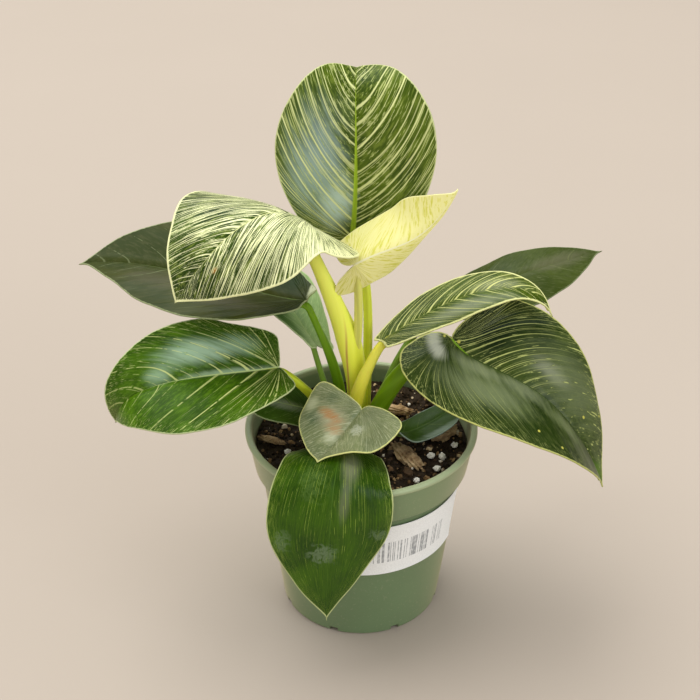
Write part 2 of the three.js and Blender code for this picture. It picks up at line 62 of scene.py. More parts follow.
LEAVES = {
    "leaf_crest": dict(
        midrib=[(-4, 18, 179), (-1, 18, 210), (-4, 15.5, 252), (-2, 48, 245)],
        face=[(-0.1, -0.8, 0.6), (0, -0.7, 0.7)],
        half=(33, 34), lobe=(5, 3), fold=(25, 27), curl=(8, 11),
        wide=0.37, full=1.0, shoulder=0.52,
        stalk=[(2, 9.5, 94), (3, 16, 130), (5, 21, 158)], girth=(2.2, 2.1, 2, 1.8),
    ),
    "leaf_arched_cream": dict(
        midrib=[(-24.1, 1.9, 194.3), (-38.2, -1, 212.3), (-59, -26.3, 202.6), (-77.5, -20, 169)],
        face=[(-0.22, 0.14, 0.84), (-0.4, -0.8, 0.3)],
        half=(32.5, 39.5), lobe=(20.5, 5), fold=(1, 7), curl=(38, 28), lift=(16, 0),
        wide=0.05, full=1.0, shoulder=(0.92, 0.6),
        stalk=[(-3, 4.5, 94), (2, 5, 133), (-16.5, 0.2, 166)], girth=(3.6, 4.6, 5.6, 4.4, 3, 2.6),
    ),
    "leaf_new_folded": dict(
        midrib=[(-3, -5, 179), (16, -7, 192), (24, -4, 184), (39, -1, 212)],
        face=[(0, -0.6, 0.8), (0.2, -0.9, 0.2)],
        half=(16, 13.5), lobe=(7, 17), fold=(0, -44), curl=(15, 36), lift=(-4, -17),
        wide=(0.47, 0.2), full=(0.94, 0.25), shoulder=0.84,
        stalk=[(-3, 3.2, 127), (-1, 1, 142), (-1, 0, 160)], girth=(1.9, 1.9, 1.8, 1.7),
    ),
    "leaf_dark_left": dict(
        midrib=[(-24, 10, 152.5), (-42, 16, 148), (-94, 39, 161), (-128, 41, 153)],
        face=[(0.1, 0, 1), (-0.1, -0.2, 1)],
        half=(36, 36), lobe=(1.5, 1.5), fold=(18, 17), curl=(20, 16),
        wide=(0.3, 0.35), full=(0.87, 0.85), shoulder=(0.52, 0.26),
        stalk=[(-9, 8, 92), (-8, 8.5, 116), (-19, 8, 138)], girth=(2.6, 2.6, 2.2, 1.8, 1.7),
    ),
    "leaf_back_left": dict(
        midrib=[(-21, 12, 129), (-33, 26, 140), (-36, 46, 139), (-50, 62, 137)],
        face=[(0.4, 0.3, 0.9), (-0.2, -0.5, 0.8)],
        half=(16, 16), lobe=(4, 4), fold=(20, 12), curl=(17, 20),
        wide=0.46, full=0.97, shoulder=0.84,
        stalk=[(-11, 4, 90), (-15, 7, 106), (-19, 9, 118)], girth=(1.7, 1.5, 1.3),
    ),
    "leaf_left": dict(
        midrib=[(-36, -7.6, 129), (-56.4, -14.4, 129.1), (-103.4, -34.6, 143.5), (-106, -25, 112)],
        face=[(-0.2, -0.3, 0.9), (-0.4, -0.7, 0.5)],
        half=(30, 25), lobe=(1.6, 2.2), fold=(25, 25), curl=(19, 13),
        wide=0.33, full=(0.95, 0.89), shoulder=(0.69, 0.69),
        stalk=[(-11, -1.5, 91), (-17, -3, 108), (-29, -6, 122)], girth=(2.4, 2.3, 2, 1.9),
    ),
    "leaf_low_left": dict(
        midrib=[(-23, -1, 102.5), (-32, -4, 106), (-44, -5, 113), (-56.5, -7.5, 109.5)],
        face=[(0, -0.3, 0.9), (0, -0.2, 1)],
        half=(11.5, 12.5), lobe=(4, 4), fold=(9, 6), curl=(19, 21),
        wide=0.41, full=0.9, shoulder=0.84,
        stalk=[(-8, -3.5, 85), (-13, -8.5, 89), (-20, -6, 97)], girth=(1.7, 1.5, 1.4),
    ),
    "leaf_small_heart": dict(
        midrib=[(0, -19, 115), (-3, -23, 113), (-11, -30, 104.3), (-19, -46, 106.6)],
        face=[(0, -0.5, 0.8), (-0.5, -0.6, 0.7)],
        half=(21, 22.5), lobe=(4, 1.5), fold=(21, 16), curl=(14, 26), lift=(5, 0),
        wide=0.22, full=0.87, shoulder=0.95,
        stalk=[(-0.5, -8, 89), (2, -12, 104), (2, -16, 111)], girth=(1.8, 1.6, 1.5),
    ),
    "leaf_front_drape": dict(
        midrib=[(-9, -24, 98), (-11, -68, 122), (-15, -64, 84), (-15.3, -65, 34.5)],
        face=[(0, -0.7, 0.8), (0.2, -1, 0.1)],
        half=(24, 24), lobe=(3, 4), fold=(-5, -5), curl=(12, 17), lift=(0, 3),
        wide=0.22, full=1.13, shoulder=0.74,
        stalk=[(-4.5, -4.5, 85), (-5.5, -12, 93), (-8, -19, 95)], girth=(2, 1.9, 1.8),
    ),
    "leaf_low_right": dict(
        midrib=[(15, -11, 98), (22, -6, 89), (38, 5, 97), (51, 10, 101)],
        face=[(0, 0, 1), (0, 0, 1)],
        half=(9, 10), lobe=(3, 3), fold=(6, 10), curl=(21, 19),
        wide=0.39, full=0.89, shoulder=0.84,
        stalk=[(3, -4, 84), (5, -9, 91), (10, -12, 95)], girth=(1.6, 1.5, 1.4),
    ),
    "leaf_broad_right": dict(
        midrib=[(39, -1, 140), (51, -10, 123), (83, -19, 141), (107, -25, 77)],
        face=[(0, -0.6, 0.8), (0.7, -0.1, 0.7)],
        half=(35, 32), lobe=(4, 8.4), fold=(14, 16), curl=(12, 16),
        wide=0.34, full=0.81, shoulder=0.84,
        stalk=[(4.5, -2.5, 92), (7, -2, 113), (26, -2, 136)], girth=(4.6, 4.5, 4.1, 3.5, 2.4),
    ),
    "leaf_striped_right": dict(
        midrib=[(8.4, 0, 138), (31, 18, 143.5), (71, 11, 176.2), (83, 5, 147)],
        face=[(-0.4, 0, 0.9), (0.8, -0.2, 0.6)],
        half=(13, 12), lobe=(1, 1), fold=(8, 6), curl=(15, 26),
        wide=(0.27, 0.36), full=(0.98, 0.93), shoulder=(0.3, 0.7),
        stalk=[(-4.5, -3.5, 93), (-4, -4, 110), (2.2, -3, 127.4)], girth=(3.2, 3.3, 2.8, 2),
    ),
    "leaf_dark_right": dict(
        midrib=[(33, 35, 131), (65, 37, 149), (84, 49, 147), (112, 59, 150)],
        face=[(0, 0, 1), (0.2, -0.2, 1)],
        half=(19, 20), lobe=(6, 2), fold=(3, 4), curl=(22, 21),
        wide=0.41, full=0.81, shoulder=(0.84, 0.5),
        stalk=[(6.5, 6, 91), (10, 12, 110), (22, 26, 126)], girth=(2, 1.9, 1.7),
    ),
}

# ---- The leaves' markings ----
# slot: its material slot.
# tones: the colours that TONES names, in its order: the ground's three greens, the stripes, the midrib, the
# margin, the lower side, and the stalk at its foot and its top.
# rib_width, rib_end: the midrib's width, and that at the tip as a share of it.
# edge_width: the margin's width. rounding: how many times the margin round the base is smoothed.
# steep, slant: how steeply the veins rise, and how much further those of the left and right half reach.
# lines: even stripes along the veins: how many, their width as a share of their spacing, how many of them
# are there, and how broken they are.
# lanes: the stripes run beside the margin, from the stalk to the tip, and not out from the midrib.
# fan: how much wider the stripes are at the stalk. lean: how much wider left, right and at the tip.
# fading: where along the blade the stripes begin to fade and where they have faded, and what is left.
# bare: how far the left and right stripes are missing near the midrib.
# flecks: fine streaks: how many across, how short, and how much of the blade they cover.
# fleck_tone: the strength of the flecks. crisp: how sharp they are.
# speckle: the strength of the grains at the margin.
# dots: how many to a metre, and how many of them are there.
# patches: where along the blade and how far aside in mm, half length and half width in mm, colour, strength,
# and whether it's a dried water mark. Most patches are painted sheen and painted highlights, and a few are
# painted shade. The others are the leaf's own blotches and dried water marks.
# sheath: the colour of the edge of the stalk's sheath. ring: where the stalk has a scar, and its colour.
# PLAIN: what holds where a leaf's own entry says nothing else.

TONES = ("deep", "green", "pale", "cream", "rib", "edge", "under", "foot", "top")
PLAIN = dict(
    rib_end=0.35, edge_width=1.0, steep=1.3, slant=(0, 0), rounding=45, lanes=False, fan=1.0, lean=(0, 0, 0),
    fading=(0, 1, 1), bare=(0, 0), fleck_tone=0.85, crisp=0.0, patches=(),
)
MARKINGS = {
    "leaf_crest": dict(
        slot="leaf_striped", tones="34480a 516512 7f9034 d9dd98 a2be30 c8cf90 9ea77d cdd33a d8e04c",
        rib_width=3.2, rib_end=0.25, steep=1.35, slant=(0.05, 0.0), lines=(22, 0.07, 1.0, 0.0),
        flecks=(210, 7.0, 0.28), fleck_tone=0.42, crisp=0.3,
        # Both patches are painted sheen: a blue-grey reflection over the left half.
        patches=[(0.42, -18, 30, 17, "98aea6", 0.8), (0.2, -8, 16, 11, "b8ccbc", 0.85)],
    ),
    "leaf_arched_cream": dict(
        slot="leaf_cream", tones="24380a 3a5410 8c9c40 f1f2ba d9dd94 f2f3b8 c5c894 f0f63c f6fb6c",
        rib_width=0.8, edge_width=1.7, steep=2.3, slant=(0.07, 0.0), lines=(62, 0.1, 0.95, 0.15),
        flecks=(290, 3.6, 0.46), fleck_tone=0.92, crisp=0.75, lean=(0.25, 0.1, -0.8), sheath="b8604a",
        patches=[(0.68, -6.3, 2.0, 1.2, "c08a40", 0.6)],
    ),
    "leaf_new_folded": dict(
        slot="leaf_young", tones="d2d24e e6e076 eee688 f3eea4 f5f2c4 f6f2ac f6f2a8 d8d662 dedc74",
        rib_width=0.9, steep=1.4, lines=(26, 0.14, 1.0, 0.1), flecks=(80, 3.0, 0.62), crisp=0.1,
    ),
    "leaf_dark_left": dict(
        slot="leaf_dark", tones="333e14 424819 4d502c 68704a 6a7c40 98a274 738154 5c8810 76a01c",
        rib_width=0.9, steep=1.4, lines=(22, 0.03, 0.4, 0.8), flecks=(100, 3.0, 0.04),
        # The two grey-olive patches are painted sheen, and the dark green one by the stalk is painted shade
        # under the leaves above.
        patches=[(0.3, -19, 30, 9, "5a5740", 0.6), (0.6, -12, 26, 10, "5a5740", 0.6),
                 (0.12, 11, 18, 12, "1f3606", 0.85), (0.0, 7, 1.3, 8, "c4caa4", 0.9)],
    ),
    "leaf_back_left": dict(
        slot="leaf_dark", tones="7f9a60 93aa70 a4b880 aebe8c a0b478 b0c08c 8ea468 6d9028 7a9c36",
        rib_width=0.6, lines=(18, 0.03, 0.3, 0.8), flecks=(80, 3.0, 0.03),
        patches=[(0.35, -12, 40, 8, "3c640c", 0.9)],
    ),
    "leaf_left": dict(
        slot="leaf_green", tones="2a4803 416402 587c14 cdd486 b4c482 bcc690 7d8d5b a4b212 bac62c",
        rib_width=1.6, rib_end=0.2, rounding=150, steep=1.7, lines=(15, 0.034, 0.95, 0.6),
        flecks=(150, 8.0, 0.04), fading=(0.25, 0.8, 0.6), speckle=0.3, fan=2.0, ring=(0.34, "b07a2c"),
        # The pale blue-green patches, including the one along the midrib, are painted sheen.
        patches=[(0.42, 11, 22, 8, "a6c2a4", 0.8), (0.2, 12, 14, 7, "a6c2a4", 0.5),
                 (0.62, 4, 8, 6, "a6c2a4", 0.5), (0.3, 0.5, 26, 2.2, "a4bc98", 0.6),
                 (0.95, 2, 10, 9, "5c6a30", 0.8)],
    ),
    "leaf_low_left": dict(
        slot="leaf_grey", tones="284006 37540c 466420 78884c 8ca064 8e9c6c 6e8255 6b8028 7e923a",
        rib_width=0.7, lines=(16, 0.03, 0.3, 0.8), flecks=(80, 3.0, 0.04),
        # The patch is a painted grey sheen.
        patches=[(0.35, -1, 12, 4, "969e87", 0.6)],
    ),
    "leaf_small_heart": dict(
        slot="leaf_grey", tones="68744e 868f62 a2a47e b9bd9a 8b9566 dadb8c a3a978 93a034 a2ae4b",
        rib_width=0.4, edge_width=1.1, steep=1.5, lines=(30, 0.035, 0.6, 0.5), flecks=(170, 8.0, 0.24),
        fleck_tone=0.5,
        # The dark green patches are painted shade in the cupped blade, and the pale grey ones are painted
        # sheen. The tan and orange ones are the leaf's own blush, and the last one is a dried water mark.
        patches=[(0.42, 14, 6, 6, "56694a", 0.85), (0.1, 13, 5.5, 4, "65734f", 0.7),
                 (0.3, 19, 5, 3.5, "c2c6a0", 0.8), (0.25, -16, 10, 9, "6c7450", 0.7),
                 (0.15, -7, 8, 5, "858c6a", 0.5), (0.52, 3, 6, 4, "cdd0b0", 0.8),
                 (0.33, 7.5, 8, 9, "b8b08e", 0.8), (0.3, 9, 3.4, 8, "b8824c", 0.85),
                 (0.42, 4.5, 4, 5, "b48e60", 0.75), (0.3, -5, 4, 3.4, "ccd0ba", 0.6, 1)],
    ),
    "leaf_front_drape": dict(
        slot="leaf_green", tones="203e02 365802 486a02 9aae48 44641a c0c88a 73894b 61781e 73872b",
        rib_width=0.5, edge_width=1.2, steep=2.0, lanes=True, lines=(17, 0.03, 0.85, 1.2),
        flecks=(60, 16.0, 0.04), fleck_tone=0.5, speckle=0.5,
        # The first two patches are a painted grey sheen beside the midrib. The others are dried water marks.
        patches=[(0.2, -6, 17, 5.5, "7a7e61", 0.85), (0.4, -5, 12, 3.2, "7a7e61", 0.5),
                 (0.64, 3, 6, 7, "6f8062", 0.6, 1), (0.57, -22, 4, 5, "6f8062", 0.4, 1),
                 (0.6, 20, 6, 4, "6f8062", 0.4, 1), (0.33, 9, 10, 7, "4d6a2a", 0.6, 1),
                 (0.16, -17, 6, 4, "4d6a2a", 0.6, 1)],
    ),
    "leaf_low_right": dict(
        # Its margin tone and its one patch are a painted blue-grey highlight along the rim.
        slot="leaf_dark", tones="2a4309 35500d 45601c 697c39 4c6426 90a190 647848 61782b 6a8134",
        rib_width=0.5, lines=(14, 0.03, 0.2, 0.8), flecks=(80, 3.0, 0.03),
        patches=[(0.5, 8.5, 18, 2.6, "90a190", 0.7)],
    ),
    "leaf_broad_right": dict(
        slot="leaf_dark", tones="1f3006 394914 4c5826 b0b66a 35471a bcbe6c 6f7c4c 5f8402 769c08",
        rib_width=0.8, edge_width=1.2, slant=(0.0, 0.03), lines=(44, 0.05, 0.95, 0.3),
        flecks=(150, 6.0, 0.03), fading=(0.2, 0.55, 0.06), speckle=0.35, lean=(0.3, -0.35, 0.0),
        dots=(95.0, 0.72), bare=(0.0, 0.92),
        # The dark patch by the stalk is painted shade in the valley of the far half, and the pale one at the
        # base is a painted highlight on the lobe. The grey patches are painted sheen, and the last one is the
        # tip's own green.
        patches=[(0.1, -14, 26, 17, "142408", 0.9), (0.0, 9, 6, 5, "a8aa98", 0.8),
                 (0.18, 4, 16, 5, "8a9270", 0.5), (0.38, 4, 18, 6, "848c6c", 0.45),
                 (0.45, -12, 12, 6, "9a9c88", 0.6), (0.55, -14, 30, 20, "6c7650", 0.6),
                 (0.25, 14, 26, 12, "78825c", 0.6), (0.6, 6, 18, 5, "6e7850", 0.6),
                 (0.92, 0, 9, 9, "4a6a0a", 0.8)],
    ),
    "leaf_striped_right": dict(
        slot="leaf_striped", tones="2c4004 43570a 6f7c26 d2d484 6c7a2c dede98 9fa86f f4ea2e f6f05a",
        rib_width=0.4, edge_width=1.5, steep=2.0, lines=(20, 0.06, 1.0, 0.2), flecks=(150, 3.0, 0.14),
        fleck_tone=0.5, crisp=0.4, lean=(0.1, -0.4, 0.0), fan=1.6, sheath="b8603c",
        # Both patches are painted grey sheen.
        patches=[(0.66, -2, 16, 5, "8c9270", 0.6), (0.5, 7, 34, 5, "848c70", 0.7)],
    ),
    "leaf_dark_right": dict(
        slot="leaf_dark", tones="334010 424e1c 4e5630 626840 455422 727c54 667346 5e7c22 6b862b",
        rib_width=0.6, lines=(18, 0.03, 0.25, 0.8), flecks=(90, 3.0, 0.03),
        # The patch is a painted grey sheen.
        patches=[(0.74, -1, 22, 7, "5c5c42", 0.7)],
    ),
}

# ---- The ground, in millimetres ----

CROWN_AT = (-2.5, 2.0)
BITS = {
    "bark_chip_long": dict(at=(20, -15.4, 87.2), size=(10.5, 4, 2.6), turn=-58, rough=0.16),
    "bark_chip_block": dict(at=(37, 2, 88), size=(7, 4.5, 3.6), turn=35, rough=0.2),
    "bark_chip_left": dict(at=(-40.5, -3.4, 87), size=(6.5, 1.7, 1.5), turn=-22, rough=0.18),
    "dry_sheath": dict(at=(17, 19, 88), size=(7, 2.4, 2), turn=-15, rough=0.14),
    "perlite_1": dict(at=(31, -14.8, 86.9), size=(1.6, 1.5, 1.4), turn=0, rough=0.1),
    "perlite_2": dict(at=(36, -15.5, 86.9), size=(1.5, 1.4, 1.4), turn=40, rough=0.1),
    "perlite_3": dict(at=(33.2, -24.3, 86.9), size=(1.5, 1.4, 1.3), turn=75, rough=0.1),
    "perlite_4": dict(at=(42, -7, 86.9), size=(1.4, 1.2, 1.2), turn=20, rough=0.1),
    "perlite_5": dict(at=(24, -33, 86.9), size=(1.3, 1.2, 1.2), turn=10, rough=0.1),
    "perlite_6": dict(at=(-33, -12, 86.9), size=(1.4, 1.3, 1.2), turn=65, rough=0.1),
}


def hue(code):
    """A colour written as six hexadecimal digits, as the linear values that a shader takes."""
    shares = [int(code[i:i + 2], 16) / 255 for i in (0, 2, 4)]
    return tuple(s / 12.92 if s <= 0.04045 else ((s + 0.055) / 1.055) ** 2.4 for s in shares)


def scaled(colour, by):
    """The colour made lighter or darker."""
    return tuple(min(1, by * part) for part in colour)


# ---- What a user would change ----


def length_setting(name, description, default, **limits):
    return bpy.props.FloatProperty(
        name=name, description=description, default=default, subtype="DISTANCE", unit="LENGTH", **limits)


def colour_setting(name, description, code):
    return bpy.props.FloatVectorProperty(
        name=name, description=description, default=hue(code), size=3, subtype="COLOR", min=0, max=1)


class BirkinLeafSettings(bpy.types.PropertyGroup):
    """The build of every leaf."""

    thickness: length_setting("Blade Thickness", "Thickness of a blade at its middle", 0.6 * MM, min=0.1 * MM)
    cell: length_setting("Cell", "Distance between a blade's rows", 0.85 * MM, min=0.3 * MM)
    vein_relief: length_setting("Vein Relief", "Height of the swelling between two veins", 0.12 * MM)
    margin_wave: length_setting("Margin Wave", "Height of the slow waves of the margin", 0.55 * MM)
    midrib_groove: length_setting("Midrib Groove", "Depth of the groove over the midrib", 0.45 * MM)


class BirkinPotSettings(bpy.types.PropertyGroup):
    """The nursery pot and its label."""

    facets: bpy.props.IntProperty(name="Facets", description="Steps round the pot", default=144, min=36)
    plastic: colour_setting("Plastic", "Colour of the pot", "647c57")
    paper: colour_setting("Paper", "Colour of the label", "f4f4f2")


class BirkinSoilSettings(bpy.types.PropertyGroup):
    """The potting mix."""

    crumbs: bpy.props.IntProperty(
        name="Crumbs", description="How many loose crumbs lie on the soil", default=2200, min=0)
    seed: bpy.props.IntProperty(
        name="Seed", description="Another seed scatters the crumbs another way", default=7)
    humus: colour_setting("Humus", "Colour of the damp soil", "3c3023")


class BirkinStageSettings(bpy.types.PropertyGroup):
    """The camera, the floor and the light."""

    tilt: bpy.props.FloatProperty(
        name="Tilt", description="How far the camera looks down", default=math.radians(32.73),
        subtype="ANGLE", unit="ROTATION")
    distance: length_setting("Distance", "From the camera to the middle of the view", 0.656)
    middle: bpy.props.FloatVectorProperty(
        name="Middle", description="The point in the middle of the view", default=(-5.1 * MM, 0, 133.2 * MM),
        size=3, subtype="XYZ", unit="LENGTH")
    lens: bpy.props.FloatProperty(
        name="Lens", description="Focal length on a 36 mm wide sensor", default=77.14, unit="CAMERA")
    floor: colour_setting("Floor", "Colour of the floor", "b0a497")


# ---- Modelling helpers ----


def only(obj):
    """Selects one object and makes it active."""
    bpy.ops.object.select_all(action="DESELECT")
    obj.select_set(True)
    bpy.context.view_layer.objects.active = obj


def points_of(obj):
    flat = np.empty(len(obj.data.vertices) * 3)
    obj.data.vertices.foreach_get("co", flat)
    return flat.reshape(-1, 3)


def set_points(obj, points):
    obj.data.vertices.foreach_set("co", np.asarray(points, float).ravel())
    obj.data.update()


def set_field(obj, name, values):
    """Stores one number a vertex, for a material to read."""
    field = obj.data.attributes.new(name, "FLOAT", "POINT")
    field.data.foreach_set("value", np.asarray(values, np.float32))


def primitive(kind, name, **values):
    """One of the simple meshes, to shape further."""
    bpy.ops.object.select_all(action="DESELECT")
    getattr(bpy.ops.mesh, f"primitive_{kind}_add")(**values)
    obj = bpy.context.object
    obj.name = obj.data.name = name
    return obj


def grid(name, columns, rows):
    """A flat grid of quads with its own UV map, and its vertices' places across and along it, from 0 to 1."""
    obj = primitive("grid", name, x_subdivisions=columns, y_subdivisions=rows, size=2)
    flat = points_of(obj)
    return obj, (flat[:, 0] + 1) / 2, (flat[:, 1] + 1) / 2


def edit(obj, *steps):
    """Runs steps in edit mode with the whole mesh selected."""
    only(obj)
    bpy.ops.object.mode_set(mode="EDIT")
    bpy.ops.mesh.select_all(action="SELECT")
    for step in steps:
        step()
    bpy.ops.object.mode_set(mode="OBJECT")


def weld(obj, distance=0.002 * MM, outward=False):
    """Joins vertices that meet and, on a closed shape, turns every face outward."""
    steps = [lambda: bpy.ops.mesh.remove_doubles(threshold=distance)]
    if outward:
        steps.append(lambda: bpy.ops.mesh.normals_make_consistent(inside=False))
    edit(obj, *steps)


def modify(obj, kind, **settings):
    """Adds a modifier and applies it."""
    only(obj)
    bpy.ops.object.modifier_add(type=kind)
    modifier = obj.modifiers[-1]
    for key, value in settings.items():
        setattr(modifier, key, value)
    bpy.ops.object.modifier_apply(modifier=modifier.name)


def join(obj, *others):
    only(obj)
    for other in others:
        other.select_set(True)
    bpy.ops.object.join()
    return obj


def smooth(obj, angle=None):
    only(obj)
    if angle is None:
        bpy.ops.object.shade_smooth()
    else:
        bpy.ops.object.shade_smooth_by_angle(angle=math.radians(angle))


def coat(obj, *materials):
    for material in materials:
        obj.data.materials.append(material)


def settle(obj, slot, *nodes):
    """Rides the finished piece on the plant and hides the imported parts that it stands for."""
    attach(obj, BODY)
    if nodes:
        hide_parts(*nodes)


# ---- Material helpers ----


class Board:
    """A material's board of nodes, with one short call for each kind."""

    def __init__(self, name, **surface):
        self.material = bpy.data.materials.new(name)
        self.material.use_nodes = True
        self.tree = self.material.node_tree
        self.shader = self.tree.nodes["Principled BSDF"]
        for socket, value in surface.items():
            self.feed(self.shader.inputs[socket.replace("_", " ")], value)

    def feed(self, socket, value):
        if isinstance(value, bpy.types.NodeSocket):
            self.tree.links.new(value, socket)
        elif isinstance(value, (tuple, list)) and socket.type == "RGBA":
            socket.default_value = (*value[:3], 1.0)
        else:
            socket.default_value = value

    def node(self, kind, *values, **settings):
        made = self.tree.nodes.new("ShaderNode" + kind)
        for key, value in settings.items():
            setattr(made, key, value)
        for socket, value in zip(made.inputs, values):
            if value is not None:
                self.feed(socket, value)
        return made

    def math(self, operation, a, b=None, c=None):
        return self.node("Math", a, b, c, operation=operation).outputs[0]

    def add(self, a, b):
        return self.math("ADD", a, b)

    def times(self, a, b):
        return self.math("MULTIPLY", a, b)

    def line(self, a, by, plus):
        return self.math("MULTIPLY_ADD", a, by, plus)

    def gap(self, a, b):
        """How far apart two values are."""
        return self.math("ABSOLUTE", self.math("SUBTRACT", a, b))

    def fade(self, value, start, end, low=0.0, high=1.0):
        """A smooth step: low up to start and high from end on."""
        made = self.node("MapRange", value, start, end, low, high, interpolation_type="SMOOTHSTEP")
        return made.outputs[0]

    def mix(self, share, a, b):
        made = self.node("Mix", data_type="RGBA")
        for index, value in ((0, share), (6, a), (7, b)):
            self.feed(made.inputs[index], value)
        return made.outputs[2]

    def place(self, x, y, z):
        return self.node("CombineXYZ", x, y, z).outputs[0]

    def split(self, vector):
        return self.node("SeparateXYZ", vector).outputs

    def noise(self, vector, scale=1.0, detail=2.0, rough=0.5, warp=0.0):
        made = self.node("TexNoise")
        for key, value in zip(("Vector", "Scale", "Detail", "Roughness", "Distortion"),
                              (vector, scale, detail, rough, warp)):
            self.feed(made.inputs[key], value)
        return made.outputs[0]

    def grain(self, scale, detail, **more):
        """Noise over the object's own space."""
        return self.noise(self.object_place(), scale, detail, **more)

    def chance(self, number):
        """A random number that stays the same for the same whole number."""
        return self.node("TexWhiteNoise", None, number, noise_dimensions="1D").outputs[0]

    def field(self, name):
        return self.node("Attribute", attribute_name=name).outputs["Fac"]

    def uv(self):
        return self.split(self.node("TexCoord").outputs["UV"])

    def object_place(self):
        return self.node("TexCoord").outputs["Object"]

    def ramp(self, share, *stops):
        made = self.node("ValToRGB", share)
        band = made.color_ramp
        for at, colour in stops[1:-1]:
            band.elements.new(at).color = (*colour, 1)
        for element, (at, colour) in zip(band.elements, stops):
            element.position = at
            element.color = (*colour, 1)
        return made.outputs[0]

    def bump(self, height, strength, distance):
        made = self.node("Bump")
        made.inputs["Strength"].default_value = strength
        made.inputs["Distance"].default_value = distance
        self.feed(made.inputs["Height"], height)
        return made.outputs[0]

    def finish(self, colour, rough, normal=None):
        for key, value in (("Base Color", colour), ("Roughness", rough), ("Normal", normal)):
            if value is not None:
                self.feed(self.shader.inputs[key], value)
        return self.material


# ---- Leaves: form ----

# Steps of a curve, of the margin between two knots, and of the whole margin, and how many of its steps are
# smoothed round the base and how many belong to the lobe.
CURVE_STEPS, KNOT_STEPS, MARGIN_STEPS, BASE_STEPS, LOBE_STEPS = 400, 60, 360, 150, 60
# The least and the most of a blade's rows, and of the columns of each half.
ROWS, HALF_COLUMNS = (56, 170), (12, 28)
# The swellings between veins, the waves of the margin, and the half width that gives both their full height.
SWELLINGS, WAVES, FULL_SIZE = 15, 2.6, 30
# The share of a half that lies within the margin's own strip of quads.
WITHIN = 0.986
# The stalk's depth as a share of its width, its channel's depth, and the rib's half width at the tip.
DEEP, CHANNEL, RIB_TIP = 0.85, 0.16, 0.3


def cubic(controls, t):
    """Points of a cubic Bezier curve, and its direction there."""
    p = np.asarray(controls, float)
    t = np.asarray(t, float)[:, None]
    at = (1 - t) ** 3 * p[0] + 3 * (1 - t) ** 2 * t * p[1] + 3 * (1 - t) * t ** 2 * p[2] + t ** 3 * p[3]
    way = 3 * ((1 - t) ** 2 * (p[1] - p[0]) + 2 * (1 - t) * t * (p[2] - p[1]) + t ** 2 * (p[3] - p[2]))
    return at, unit(way)


def unit(vectors):
    return vectors / np.linalg.norm(vectors, axis=-1, keepdims=True)


def run_of(points):
    """How far along a line of short stretches each of its points lies."""
    return np.concatenate([[0], np.cumsum(np.linalg.norm(np.diff(points, axis=0), axis=1))])


def soften(values):
    """Moves every value but the first and the last halfway to the middle of its neighbours."""
    values[1:-1] = (values[:-2] + 2 * values[1:-1] + values[2:]) / 4


class EvenCurve:
    """A cubic Bezier curve, read at even steps of its length."""

    def __init__(self, controls):
        self.controls = controls
        self.t = np.linspace(0, 1, CURVE_STEPS + 1)
        self.run = run_of(cubic(controls, self.t)[0])
        self.length = self.run[-1]

    def read(self, share):
        return cubic(self.controls, np.interp(np.asarray(share) * self.length, self.run, self.t))


